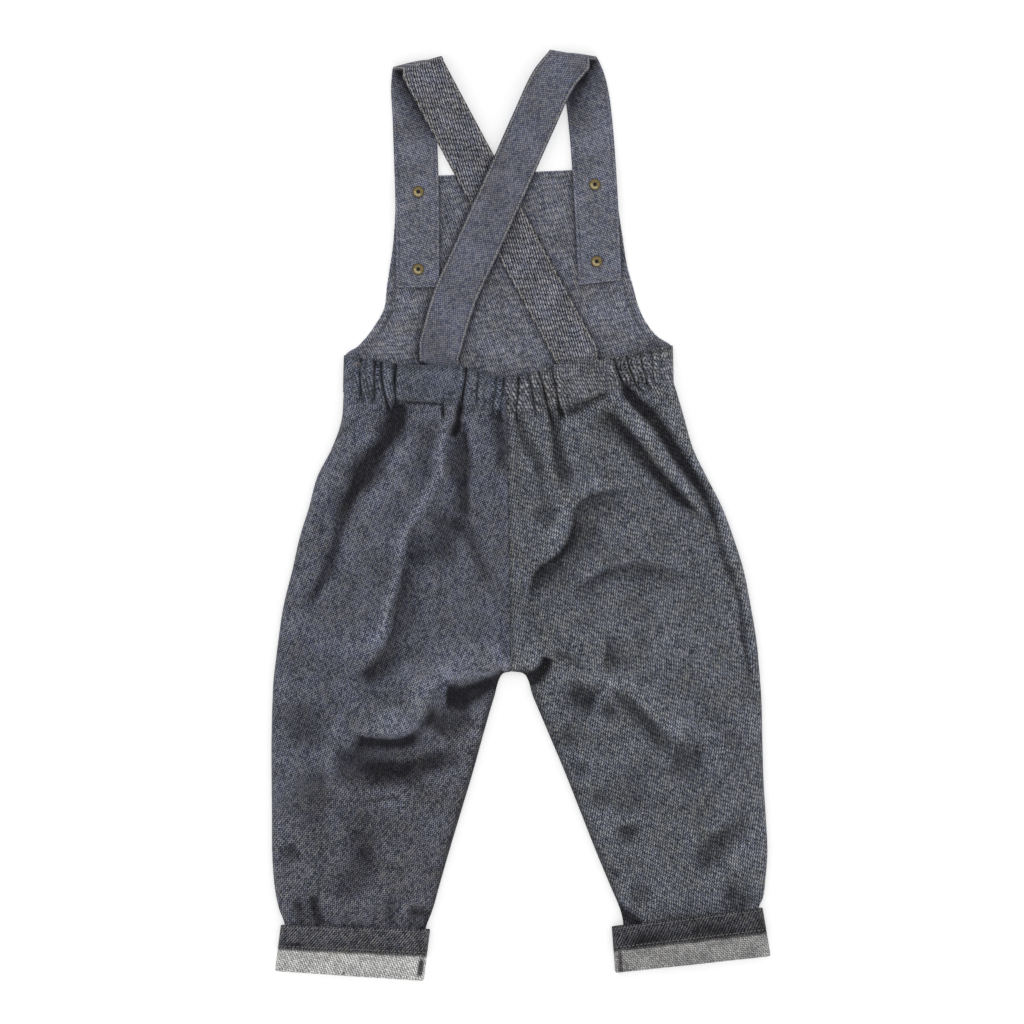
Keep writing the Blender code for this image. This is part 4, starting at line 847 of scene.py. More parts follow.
def blurred(field, reach):
    """A grid of values smoothed over reach cells each way."""
    kernel = bell(np.arange(-2 * reach, 2 * reach + 1), reach)
    kernel /= kernel.sum()
    for axis in (0, 1):
        pad = [(2 * reach, 2 * reach) if k == axis else (0, 0) for k in (0, 1)]
        field = np.pad(field, pad, mode="edge")
        field = np.apply_along_axis(lambda line: np.convolve(line, kernel, "valid"), axis, field)
    return field


def add_object(name, data):
    obj = bpy.data.objects.new(name, data)
    bpy.context.collection.objects.link(obj)
    return obj


def add_mesh(name, verts, faces, material, uv, marks):
    """A smooth mesh with its UV map, and with its marks as attributes."""
    mesh = bpy.data.meshes.new(name)
    mesh.from_pydata((np.asarray(verts) * MM).tolist(), [], faces.tolist())
    mesh.materials.append(material)
    loops = np.empty(len(mesh.loops), int)
    mesh.loops.foreach_get("vertex_index", loops)
    mesh.uv_layers.new(name="UVMap").data.foreach_set("uv", uv[loops].ravel())
    for key, values in marks.items():
        values = np.asarray(values, np.float32)
        mesh.attributes.new(key, "FLOAT", "POINT").data.foreach_set("value", values)
    mesh.shade_smooth()
    return add_object(name, mesh)


def shell(name, grid, thick, material, marks, floor=None, uv=None, relief=0.0, sharp=1.0):
    """A closed wall of cloth round a grid of points, with its edges rounded and its normals outwards."""
    rows, columns, _ = grid.shape
    edge = edge_distance(grid) * sharp
    rounded = np.sqrt(np.clip(1.0 - (1.0 - np.minimum(edge / (thick / 2), 1.0)) ** 2, 0.0, 1.0))
    normal = grid_normals(grid)
    top = grid + normal * ((thick / 2.0 + relief) * rounded)[..., None]
    under = grid - normal * (thick / 2.0 * rounded)[..., None]
    if floor is not None:
        under[..., 2] = np.maximum(under[..., 2], floor)
        top[..., 2] = np.maximum(top[..., 2], under[..., 2])
    ids = np.arange(rows * columns).reshape(rows, columns)
    inner = np.zeros((rows, columns), bool)
    inner[1:-1, 1:-1] = True
    below = ids.copy()
    below[inner] = rows * columns + np.arange(inner.sum())
    a, b, c, d = ids[:-1, :-1], ids[1:, :-1], ids[1:, 1:], ids[:-1, 1:]
    faces = [np.stack([a, b, c, d], -1).reshape(-1, 4)]
    a, b, c, d = below[:-1, :-1], below[1:, :-1], below[1:, 1:], below[:-1, 1:]
    faces.append(np.stack([a, d, c, b], -1).reshape(-1, 4))
    uv = cloth_uv(grid) if uv is None else uv
    verts = np.vstack([top.reshape(-1, 3), under[inner]])
    coords = np.vstack([uv.reshape(-1, 2), uv[inner]])
    both = {key: np.concatenate([mark.ravel(), mark[inner]]) for key, mark in marks.items()}
    return add_mesh(name, verts, np.vstack(faces), material, coords, both)


# ---------------------------------------------------------------- materials

class Tree:
    """Short ways to add nodes to a tree and join them."""

    def __init__(self, tree):
        self.tree = tree

    def node(self, kind, inputs=(), **settings):
        node = self.tree.nodes.new(kind)
        for key, value in settings.items():
            setattr(node, key, value)
        for key, value in dict(inputs).items():
            self.put(node.inputs[key], value)
        return node

    def out(self, *args, **settings):
        """A new node's first output."""
        return self.node(*args, **settings).outputs[0]

    def put(self, socket, value):
        if isinstance(value, bpy.types.NodeSocket):
            self.tree.links.new(value, socket)
        else:
            socket.default_value = value

    def calc(self, operation, *values, clamp=False):
        node = self.node("ShaderNodeMath", operation=operation, use_clamp=clamp)
        for socket, value in zip(node.inputs, values):
            self.put(socket, value)
        return node.outputs[0]

    add = partialmethod(calc, "ADD")
    minus = partialmethod(calc, "SUBTRACT")
    times = partialmethod(calc, "MULTIPLY")
    scaled = partialmethod(calc, "MULTIPLY_ADD")      # of a value, a factor and what is added

    def noise(self, vector, scale, detail=2.0):
        node = self.node("ShaderNodeTexNoise", {"Vector": vector, "Scale": scale, "Detail": detail})
        return node.outputs["Fac"]

    def chance(self, vector):
        """A number from 0 to 1 for each whole place."""
        node = self.node("ShaderNodeTexWhiteNoise", {"Vector": vector}, noise_dimensions="2D")
        return node.outputs["Value"]

    def mix(self, factor, a, b, blend="MIX"):
        node = self.node("ShaderNodeMix", data_type="RGBA", blend_type=blend)
        for key, value in ((0, factor), (6, a), (7, b)):
            self.put(node.inputs[key], value)
        return node.outputs[2]

    def attribute(self, name):
        return self.node("ShaderNodeAttribute", attribute_name=name).outputs["Fac"]

    def sockets(self, direction, kind, *names):
        """Give a node group its inputs or outputs of one kind."""
        for name in names:
            self.tree.interface.new_socket(name=name, in_out=direction, socket_type=kind)


def twill_group():
    """Lines of light thread in a dark cloth, in soft rows, with odd threads and specks."""
    t = Tree(bpy.data.node_groups.new("Twill weave", "ShaderNodeTree"))
    t.sockets("INPUT", "NodeSocketVector", "Vector")
    t.sockets("INPUT", "NodeSocketFloat", "Turn", "Pitch", "Length", "Step", "Lines", "Rows", "Fleck",
              "Speckle")
    t.sockets("OUTPUT", "NodeSocketFloat", "Light", "Height", "Blotch", "Chance")
    given = t.node("NodeGroupInput").outputs

    def peak(value, rise):
        away = t.calc("ABSOLUTE", t.scaled(t.calc("FRACT", value), 2.0, -1.0))
        return t.scaled(t.minus(0.5, away), rise, 0.5, clamp=True)

    def lowered(value, depth):
        """The value with its dark end raised: 1 - depth * (1 - value)."""
        return t.minus(1.0, t.times(depth, t.minus(1.0, value)))

    turned = t.out("ShaderNodeVectorRotate", {"Vector": given["Vector"], "Angle": given["Turn"]},
                   rotation_type="Z_AXIS")
    axes = t.node("ShaderNodeSeparateXYZ", {"Vector": turned}).outputs
    wobble = t.minus(t.noise(turned, WOBBLE_SCALE), 0.5)
    drift = t.minus(t.noise(turned, DRIFT_SCALE), 0.5)
    x = t.add(t.calc("DIVIDE", axes[0], given["Pitch"]), t.times(wobble, WOBBLE))
    column = t.calc("FLOOR", x)
    y = t.add(t.calc("DIVIDE", axes[1], given["Length"]), t.times(column, given["Step"]))
    y = t.add(y, t.times(drift, DRIFT))
    chance = t.chance(t.out("ShaderNodeCombineXYZ", {0: column, 1: t.calc("FLOOR", y)}))
    line = lowered(peak(x, LINE_PEAK), given["Lines"])
    row = lowered(peak(y, FLOAT_PEAK), given["Rows"])
    bright = t.scaled(t.times(given["Fleck"], chance), 2.0, t.minus(1.0, given["Fleck"]))

    # Specks: light and dark places like a chessboard's, each by its own chance
    specks = t.out("ShaderNodeVectorMath", {0: turned, 1: GRAIN_SCALE}, operation="MULTIPLY")
    specks = t.out("ShaderNodeVectorMath", {0: specks}, operation="FLOOR")
    cells = t.node("ShaderNodeSeparateXYZ", {"Vector": specks}).outputs
    half = t.times(t.add(cells[0], cells[1]), 0.5)
    sign = t.scaled(t.calc("FRACT", half), 4.0, -1.0)
    grain = t.chance(specks)
    speckle = t.add(t.times(sign, t.scaled(grain, *CHECKS)), t.scaled(grain, *GRAIN))
    speckle = t.times(speckle, given["Speckle"])

    height = t.times(line, row)
    thread = t.times(height, t.times(bright, LIGHT_LEVEL))
    light = t.add(thread, speckle, clamp=True)
    out = t.node("NodeGroupOutput")
    for key, value in (("Light", light), ("Height", height), ("Blotch", t.noise(turned, BLOTCH_SCALE, 3.0)),
                       ("Chance", chance)):
        t.put(out.inputs[key], value)
    return t.tree


TWILL = twill_group()


def tinted(colour, amounts, share=1.0):
    return (*(c * (1.0 + share * amount) for c, amount in zip(colour, amounts)), 1.0)


def weave(t, look, place):
    """One cloth's colour, the height of its threads and its blotches."""
    node = t.node("ShaderNodeGroup", node_tree=TWILL)
    values = {"Vector": place, "Turn": math.radians(look.turn), "Pitch": look.pitch * MM,
              "Length": look.length * MM, "Step": look.step, "Lines": look.lines, "Rows": look.rows,
              "Fleck": look.fleck, "Speckle": look.speckle}
    for key, value in values.items():
        t.put(node.inputs[key], value)
    warm, cool = tinted(look.light, WARM, look.tint), tinted(look.light, COOL, look.tint)
    colour = t.mix(node.outputs["Light"], (*look.dark, 1.0), t.mix(node.outputs["Chance"], cool, warm))
    share = t.scaled(node.outputs["Blotch"], 3.0, -1.0, clamp=True)
    blotch = t.mix(share, tinted(BLOTCH_DARK, (0.0, 0.0, -0.04 / BLOTCH_DARK[2]), look.tint),
                   tinted(BLOTCH_LIGHT, (0.0, 0.0, 0.08 / BLOTCH_LIGHT[2]), look.tint))
    return t.mix(1.0, colour, blotch, "MULTIPLY"), node.outputs["Height"], node.outputs["Blotch"]


def new_material(name):
    """A material with its tree and its shader's inputs."""
    material = bpy.data.materials.new(name)
    material.use_nodes = True
    return material, Tree(material.node_tree), material.node_tree.nodes["Principled BSDF"].inputs


def cloth_material(name, look, band=None):
    """Twill with painted shade in its creases and where other pieces shade it, and its ridges lighter, partly
    wear and partly painted highlight; band is a second look, where marked.
    """
    material, t, shader = new_material(name)
    place = t.out("ShaderNodeUVMap", uv_map="UVMap")
    colour, height, blotch = weave(t, LOOKS[look], place)
    if band:
        colour = t.mix(t.attribute("band"), colour, weave(t, LOOKS[band], place)[0])
    # A full crease mark is painted shade; the lighter mark is partly wear and partly painted highlight.
    deep = t.mix(1.0, colour, (*DEEP_SHADE, 1.0), "MULTIPLY")
    worn_and_lit = t.mix(1.0, colour, (*FULL_LIGHT, 1.0), "MULTIPLY")
    uneven = t.times(t.attribute("crease"), t.scaled(blotch, *CREASE_UNEVEN), clamp=True)
    colour = t.mix(uneven, colour, deep)
    colour = t.mix(t.attribute("wear_and_highlight"), colour, worn_and_lit)
    bump = t.out("ShaderNodeBump", {"Height": height, "Strength": 0.6, "Distance": THREAD_RISE * MM})
    for key, value in {"Base Color": colour, "Normal": bump, "Roughness": 0.88,
                       "Specular IOR Level": 0.25, "Sheen Weight": 0.12, "Sheen Roughness": 0.5}.items():
        t.put(shader[key], value)
    return material


def plain_material(name, colour, roughness, metallic=0.0, spots=None):
    """One colour, or a mottled one with so many spots a metre."""
    material, t, shader = new_material(name)
    base = (*colour, 1.0)
    if spots:
        place = t.node("ShaderNodeTexCoord").outputs["Object"]
        base = t.mix(t.noise(place, spots, 3.0), (*(SPOTS_FROM * c for c in colour), 1.0),
                     (*(SPOTS_TO * c for c in colour), 1.0))
    for key, value in {"Base Color": base, "Roughness": roughness, "Metallic": metallic}.items():
        t.put(shader[key], value)
    return material


# ---------------------------------------------------------------- the pieces of cloth

def relief_shade_and_highlight(grid, scales, share=1.0, folded=False):
    """How far each place lies below or above the cloth round it, as marks for the material: painted shade
    below, and above a lighter mark, partly wear and partly painted highlight.
    """
    height = grid[..., 2]
    steps = [np.clip((height - blurred(height, reach)) / full, -1.0, 1.0) for reach, full in scales]
    step = np.mean(steps, axis=0) * share
    shade, wear_and_highlight = np.clip(-step, 0.0, 1.0), np.clip(step, 0.0, 1.0)
    if folded:
        marks = fold_shade_and_highlight(grid[..., 0].ravel(), grid[..., 1].ravel())
        shade, wear_and_highlight = (mark + more.reshape(mark.shape) for mark, more in zip((shade, wear_and_highlight), marks))
    return {"crease": np.clip(shade, 0.0, 1.0), "wear_and_highlight": np.clip(wear_and_highlight, 0.0, 1.0)}


def leg_grid(table, thick, fineness):
    """A leg's plan positions in even rows, from the waist to the cuff and from left to right."""
    ends = [leg_edge(points, fineness.steps) for points in sides(table)]
    if ends[0][0, 0] > ends[1][0, 0]:
        ends.reverse()
    lengths = np.mean([np.linalg.norm(np.diff(side, axis=0), axis=1) for side in ends], axis=0)
    run = np.concatenate([[0.0], np.cumsum(lengths)])
    edge = np.array(EDGE_SHARES[:-1]) * thick / 2
    even = np.linspace(thick / 2, run[-1] - thick / 2, int(run[-1] / fineness.spacing))
    crotch = run[CROTCH * fineness.steps]
    even[np.argmin(np.abs(even - crotch))] = crotch
    even = np.concatenate([edge, even, run[-1] - edge[::-1]])
    ends = [np.stack([np.interp(even, run, side[:, k]) for k in (0, 1)], 1) for side in ends]
    return rows_between(*ends, fineness.columns, thick), even


def tuck_under_casing(plan, run):
    """Bend a back leg's straight first rows to follow the casing's foot, and reach in under it."""
    (x0, y0), (x1, y1) = plan[0, 0], plan[0, -1]
    x = plan[0, :, 0]
    bend = line_y(CASING_FOOT, x) + TUCK - (y0 + (y1 - y0) * (x - x0) / (x1 - x0))
    plan[..., 1] += bend * np.clip(1.0 - run / TUCK_FADE, 0.0, 1.0)[:, None] ** 2


def leg_uv(grid, side):
    """The weave is laid out from the centre seam, so that it runs straight along it."""
    return cloth_uv(grid, 1.0 if side == "left" else 0.0)


def make_back_leg(side):
    plan, run = leg_grid(LEGS[side], CLOTH, BACK_MESH)
    tuck_under_casing(plan, run)

    def height(x, y):
        dip = TUCK_DIP * smooth(y - line_y(CASING_FOOT, x) + TUCK_LEAD)
        return (back_mid(x, y) if side == "left" else leg_mid(x, y)) - dip

    grid = lifted(plan, height)
    marks = relief_shade_and_highlight(grid, LEG_RELIEF, LEG_RELIEF_SHARE, folded=True)
    if side == "left":
        level, slope, blend = LOWER_LEG
        marks["band"] = smooth((level + slope * plan[..., 0] - plan[..., 1]) / blend + 0.5)
    return shell("back_%s_leg" % side, grid, CLOTH, CLOTHS["leg_" + side], marks, over(plan, back_rest),
                 leg_uv(grid, side))


def front_height(x, y):
    """The front lies on the surface, with shallow creases pressed into it from below."""
    lift = np.zeros(len(x))
    for crease in FRONT_CREASES:
        add_crease(lift, crease, x, y, np.ones(len(x)))
    return front_under(x, y) + FRONT_CLOTH / 2 + np.clip(lift, 0.0, FRONT_DEEPEST)


def make_front_leg(side):
    """Its waist seam runs along the bib's foot."""
    table, foot = LEGS[side], BIB[-1]
    ends = np.array([foot.x0 if side == "left" else foot.x1, table[0].x1])
    seam = np.interp(ends, (foot.x0, foot.x1), (foot.y0, foot.y1)) - SEAM_GAP
    waist = Section(ends[0], seam[0], ends[1], seam[1])
    plan, _ = leg_grid((waist,) + table[1:], FRONT_CLOTH, FRONT_MESH)
    grid = lifted(plan, front_height)
    return shell("front_%s_leg" % side, grid, FRONT_CLOTH, CLOTHS["leg_" + side],
                 relief_shade_and_highlight(grid, FRONT_RELIEF), 0.0, leg_uv(grid, side))


def strap_shadow(grid, points, reach):
    """Painted shadow on what lies beside a strap, deepest at its edge."""
    line = curve(points, EVEN_SPLINE)
    gap = over(grid, lambda x, y: near_path(line, x, y, FAR)) - STRAP_WIDTH / 2
    return np.exp(-np.clip(gap, 0.0, None) / reach)


def make_bib():
    """A hemmed panel, with painted shadow beside the straps that lie on it and painted shade along its hem's
    inner edge.
    """
    ends = [curve(points, BIB_SPLINE) for points in sides(BIB)]
    plan = rows_between(*ends, BIB_COLUMNS, HEMMED)
    plan = np.vstack([plan[0] + (plan[1] - plan[0]) * np.array(BIB_FIRST_ROWS)[:, None, None], plan[1:]])
    border = np.vstack([ends[0][::-1], ends[1]])
    edge = over(plan, lambda x, y: near_path(border, x, y, 2 * HEM))
    crease = HEM_SHADE.at(edge)
    for name, dark in STRAP_SHADOW_ON_BIB.items():
        (end_x, end_y), before = STRAPS[name].limb[-1], STRAPS[name].limb[:-1]
        limb = before + ((end_x, end_y + STRAP_WIDTH / 2 - 1.0),)     # the shade's round end stays under it
        for points in (STRAPS[name].run, limb):
            crease = np.maximum(crease, dark * strap_shadow(plan, points, STRAP_SHADOW_ON_BIB_REACH))
    return shell("bib_panel", lifted(plan, bib_mid), HEMMED, CLOTHS["bib"],
                 {"crease": crease, "wear_and_highlight": HEM_WEAR.at(edge)}, 0.0, None,
                 HEM_RISE * smooth((HEM - edge) / HEM_SOFT) + HEM_GROOVE.at(edge))


def make_casing():
    """Rows from the casing's top to its foot, with a groove along each where it is stitched."""
    places = edge_places(abs(CASING_TOP[-1][0] - CASING_TOP[0][0]), CASING_COLUMNS, CASING_THICK)
    rows = []
    for share in CASING_ROWS:
        left, right = (CASING_TOP[k][0] * (1 - share) + CASING_FOOT[k][0] * share for k in (0, -1))
        x = left + (right - left) * (places / places[-1])
        rows.append(np.stack([x, line_y(CASING_TOP, x) * (1 - share) + line_y(CASING_FOOT, x) * share], 1))
    plan = np.array(rows)
    share = np.broadcast_to(np.array(CASING_ROWS)[:, None], plan.shape[:2])
    lowest = CLOTH + SEAM_GAP + CASING_THICK / 2 + CASING_CLEAR
    mid = over(plan, casing_mid) + CASING_CROWN * np.sin(math.pi * share)
    down, width = CASING_EDGE
    mid = lowest + (mid - lowest) * (1.0 - down * (1.0 - smooth(share / width)))
    grid = np.dstack([plan, mid])
    marks = relief_shade_and_highlight(grid, CASING_RELIEF, CASING_RELIEF_SHARE, folded=True)
    marks["band"] = smooth((plan[..., 0] - CASING_TOP[CENTRE][0]) / SEAM_BLEND)
    foot, sharper = CASING_SHARP
    return shell("waist_casing", grid, CASING_THICK, CLOTHS["casing"], marks,
                 over(plan, back_rest) + SEAM_GAP, None, sum(groove.at(share) for groove in CASING_GROOVES),
                 np.where(share > foot, sharper, 1.0))


# ---------------------------------------------------------------- straps

def fold_over(plan, past, normal):
    """Plan positions turned over the fold's cylinder, and how far round it each has gone."""
    angle = np.clip(past / FOLD_RADIUS, 0.0, math.pi)
    beyond = np.maximum(past - FOLD_TURN, 0.0)
    shift = np.where(past > 0, -past + FOLD_RADIUS * np.sin(angle) - beyond, 0.0)
    return plan + normal * shift[:, None], angle


def strap_stations(run_length, limb_length, spacing):
    """Where a strap's rows lie along it: close together at its ends and over the fold."""
    r = STRAP_THICK / 2
    edge = np.array(EDGE_SHARES) * r
    return np.concatenate([
        -run_length + edge[:-1], np.arange(-run_length + r, -FOLD_LEAD, spacing),
        np.linspace(-FOLD_LEAD, FOLD_TURN + FOLD_TAIL, FOLD_ROWS),
        np.arange(FOLD_TURN + FOLD_TAIL + 1.0, limb_length - r - 0.4, spacing), limb_length - edge[::-1]])


def strap_grid(strap, widths, spacing):
    """The strap's middle layer: a flat strip that turns over a cylinder at the shoulder."""
    fold, end = np.array(strap.run[0], float), np.array(strap.run[-1], float)
    up = unit(fold - end)
    normal = unit(up - unit(np.subtract(strap.limb[-1], strap.limb[0])))
    sideways = np.array([up[1], -up[0]])
    distances, heights = np.array(strap.heights, float).T
    stations = strap_stations(np.linalg.norm(fold - end) + STRAP_TUCK,
                              np.linalg.norm(fold - strap.limb[-1]) + FOLD_TURN, spacing)
    rows = []
    for station in stations:
        middle = fold + up * station
        centre, _ = fold_over(middle[None], np.array([float((middle - fold) @ normal)]), normal)
        table = curve(strap.run if station < FOLD_TURN / 2 else strap.limb, EVEN_SPLINE)
        drift = np.interp(-centre[0, 1], -table[:, 1], table[:, 0]) - centre[0, 0]
        plan = middle + sideways * widths[:, None]
        past = (plan - fold) @ normal
        flat, angle = fold_over(plan, past, normal)
        flat[:, 0] += drift
        top = np.interp(-past, distances, heights)
        climb = smooth(np.maximum(past - FOLD_TURN, 0.0) / LIMB_CLIMB)
        low = LOOP_LEVEL + (limb_height(flat[:, 0], flat[:, 1]) - LOOP_LEVEL) * climb
        rows.append(np.column_stack([flat, low + (top - low) * 0.5 * (1.0 + np.cos(angle))]))
    return np.array(rows), stations


def run_shade(grid, strap):
    """The painted shadow of a strap's run on its own limb, which lies partly below it."""
    fold = np.array(strap.run[0])
    way = unit(np.array(strap.run[-1]) - fold)
    aside = (grid[..., 0] - fold[0]) * way[1] - (grid[..., 1] - fold[1]) * way[0]
    along = (grid[..., 0] - fold[0]) * way[0] + (grid[..., 1] - fold[1]) * way[1]
    beside = np.clip(np.abs(aside) - STRAP_WIDTH / 2, 0.0, None)
    level, length = LIMB_SHADE_END
    return np.exp(-beside / LIMB_SHADE) * smooth(level - along / length)


def make_strap(name):
    """A pressed tube with a stitched groove round its edge; its limb shows the other side of the twill."""
    widths = STRAP_WIDTH / 2 - edge_places(STRAP_WIDTH, STRAP_COLUMNS, STRAP_THICK)
    grid, stations = strap_grid(STRAPS[name], widths, STRAP_SPACING)
    inward = STRAP_WIDTH / 2 - np.abs(widths)
    near = np.minimum(inward[None], (stations[-1] - stations)[:, None])
    waves = np.sin(stations / 2.3 + np.sin(stations / 7.0))[:, None]
    thinner, width = EDGE_ROLL
    relief = STRAP_GROOVE.at(near) - thinner * smooth((width - near) / width) + waves * STRAP_RIPPLE.at(near)
    # Painted shade along the edges, painted shadow of the run on its own limb and of the other strap across
    # the left one
    crease = np.maximum(*(line.at(near) for line in STRAP_SHADES))
    limb = np.broadcast_to(smooth((stations - FOLD_TURN / 2) / FOLD_BLEND)[:, None], grid.shape[:2])
    crease = np.maximum(crease, limb * run_shade(grid, STRAPS[name]))
    if name == "strap_left":
        crossing = strap_shadow(grid, STRAPS["strap_right"].run, CROSSING_REACH)
        crease = np.maximum(crease, CROSSING_SHADE * crossing * (1.0 - limb))
    uv = np.stack(np.broadcast_arrays(widths[None] * MM, stations[:, None] * MM), -1)
    return shell(name.replace("strap_", "shoulder_strap_"), grid, STRAP_THICK, CLOTHS[name],
                 {"crease": crease, "wear_and_highlight": STRAP_WEAR_AND_LIGHT.at(near), "band": limb}, None, uv, relief)


# ---------------------------------------------------------------- cuffs

def cuff_ring(width, inset, step):
    """A flattened ring round a cuff, as (distance across, height) pairs, from the lower left round."""
    radius = CUFF_HEIGHT / 2 - inset
    flat = np.linspace(0.0, 1.0, CUFF_COLUMNS)
    bend = np.linspace(-0.5, 0.5, CUFF_BENDS)[1:-1] * math.pi
    left, right = inset + radius, width - inset - radius

    def crown(share):
        wave = CUFF_WAVE * math.sin(14 * share + 1) * math.sin(math.pi * share)
        return CUFF_CROWN * 4 * share * (1 - share) + wave

    bottom = [(left + (right - left) * share, inset) for share in flat]
    right_end = [(right + radius * math.cos(a), CUFF_HEIGHT / 2 + radius * math.sin(a)) for a in bend]
    top = [(right + (left - right) * share, CUFF_HEIGHT - inset + step + crown(share)) for share in flat]
    left_end = [(left - radius * math.cos(a), CUFF_HEIGHT / 2 + radius * math.sin(a)) for a in bend[::-1]]
    return np.array(bottom + right_end + top + left_end)


def cuff_tall(name):
    top_left, _, foot_left, _ = np.array(CUFFS[name])
    return np.linalg.norm(top_left - foot_left)


def across_cuff(name, up):
    """Where a cuff starts at a distance up from its foot, its direction across and its width."""
    top_left, top_right, foot_left, foot_right = np.array(CUFFS[name])
    left = foot_left + (top_left - foot_left) * up / cuff_tall(name)
    right = foot_right + (top_right - foot_right) * up / cuff_tall(name)
    return left, unit(right - left), np.linalg.norm(right - left)


def cuff_profile(tall, band):
    """(up, inset, the band's step) round a wall, from the hem's top down to the foot and up inside."""
    lip = CUFF_WALL + SEAM_GAP + CLOTH
    hem = [(tall - 0.25, 0.75), (tall, 0.35), (tall - 0.2, 0.1), (tall - 0.8, 0.0)]
    hem += [(up, 0.0) for up in np.linspace(tall - 1.8, band + 1.2, 13)]
    out = [(up, inset, BAND_STEP) for up, inset in hem]
    out += [(band + 0.5, 0.0, BAND_STEP * 0.95), (band + 0.15, 0.0, BAND_STEP * 0.6), (band, 0.0, BAND_LIP)]
    wall = [(up, 0.0) for up in np.linspace(band - 0.8, 2.2, 12)]
    wall += [(1.2, 0.06), (0.6, 0.25), (0.2, 0.6), (0.0, 1.1), (0.1, 1.7)]
    wall += [(0.3, lip), (1.5, lip), (1.8, CUFF_WALL)]
    wall += [(up, CUFF_WALL) for up in np.linspace(5.0, tall - 1.4, 5)]
    return out + [(up, inset, 0.0) for up, inset in wall]


def cuff_shade(name, across, width, up, band, on_band):
    """How dark a cuff is: by itself, along the hem's edge with a painted shadow line below it, in spots (one
    of them painted shade in the gap at the left cuff's end), and in faint waves.
    """
    dark, start, reach = BAND_DARKER if on_band else BAND_LINE
    edge = dark * smooth(((band - up if on_band else up - band) + start) / reach)
    spots = sum(dark * math.exp(-((across - share * width) / wide) ** 4 - ((up - at) / high) ** 4)
                for share, at, wide, high, dark in CUFF_DARKS[name])
    wave = 0.10 * math.sin(across / 7.0 + 1.3 * math.sin(across / 17.0)) * math.sin(up / 5.0 + 1.0)
    return CUFF_SHADE[name] * SHADE_SHARES[0 if on_band else 1] + EDGE_STRENGTH * edge + wave + spots


def make_cuff(name):
    tall = cuff_tall(name)
    band = tall * (1.0 - BAND_SHARE)
    profile = np.array(cuff_profile(tall, band))
    verts, uv, marks, shade = [], [], [], []
    for (up, inset, step), down in zip(profile, run_along(profile[:, :2])):
        left, way, width = across_cuff(name, up)
        ring = cuff_ring(width, inset, step)
        on_band = step > BAND_LIP
        for (across, z), run in zip(ring, run_along(ring)):
            verts.append((*(left + way * across), z))
            uv.append((-run * MM, (tall - down) * MM))
            marks.append(float(on_band))
            shade.append(cuff_shade(name, across, ring[:, 0].max(), up, band, on_band))
    ids = np.arange(len(verts)).reshape(len(profile), -1)
    following, turned = np.roll(ids, -1, 0), np.roll(ids, -1, 1)
    faces = np.stack([ids, turned, np.roll(following, -1, 1), following], -1).reshape(-1, 4)
    return add_mesh(name.replace("cuff_", "turn_up_"), verts, faces, CLOTHS["cuff"], np.array(uv),
                    {"band": marks, "crease": np.clip(shade, 0.0, 1.0), "wear_and_highlight": np.zeros(len(verts))})


# ---------------------------------------------------------------- buttons

def button_profile(seat):
    """(radius, height) pairs from under the cap, up the shank, over the ring and into its hole."""
    cap, cap_height = BUTTON_CAP
    ring, ring_height = BUTTON_RING
    below = [(0.0, 0.25), (2.0, 0.1), (cap - 1.6, 0.0), (cap - 0.8, 0.12), (cap - 0.3, 0.5), (cap, 1.0),
             (cap, 1.4), (cap - 0.5, cap_height), (SHANK, cap_height)]
    above = [(SHANK, 0.0), (ring - 0.2, 0.0), (ring, 0.2), (ring, 0.45), (ring - 0.35, 0.75),
             (ring - 0.9, 0.72), (ring - 1.3, 0.6), (2.1, 0.85), (1.8, ring_height), (1.5, ring_height),
             (1.25, 0.8), (1.1, 0.2), (0.0, 0.15)]
    return below + [(radius, seat + up) for radius, up in above]


def make_button(name, place, materials):
    """A tack button turned about its shank: cap below the bib, ring-shaped back on the strap."""
    seat = BUTTON_CAP[1] + SEAM_GAP + HEMMED + LAY_GAP + STRAP_THICK + SEAM_GAP
    first, *profile, last = button_profile(seat)
    turn = np.arange(BUTTON_SIDES) * 2 * math.pi / BUTTON_SIDES
    verts = [(place[0] + r * math.cos(a), place[1] + r * math.sin(a), z) for r, z in profile for a in turn]
    ids = np.arange(len(verts)).reshape(-1, BUTTON_SIDES)
    turned = np.roll(ids, -1, 1)
    faces = np.stack([ids[:-1], turned[:-1], turned[1:], ids[1:]], -1).reshape(-1, 4).tolist()
    for k in range(BUTTON_SIDES):
        faces += [(len(verts), turned[0, k], ids[0, k]), (len(verts) + 1, ids[-1, k], turned[-1, k])]
    verts += [(*place, first[1]), (*place, last[1])]
    mesh = bpy.data.meshes.new(name)
    mesh.from_pydata((np.array(verts) * MM).tolist(), [], [[int(i) for i in face] for face in faces])
    for material in materials:
        mesh.materials.append(material)
    # The eye is near-black, painted shade; the lip gets a painted highlight on the side towards the light,
    # plain brass elsewhere.
    for polygon in mesh.polygons:
        at = np.array(polygon.center) / MM - (*place, 0.0)
        if at[2] > seat - 0.1:
            out = math.hypot(at[0], at[1])
            part = int(np.searchsorted(BUTTON_BANDS, out))
            worn_and_lit = np.dot(at[:2], LIP_HIGHLIGHT_SIDE) > LIP_HIGHLIGHT_SPAN * out
            polygon.material_index = 2 if part == 1 and not worn_and_lit else part
    mesh.shade_smooth()
    mesh.set_sharp_from_angle(angle=math.radians(55))
    return add_object(name.replace("button_", "tack_button_"), mesh)


# ---------------------------------------------------------------- stitches

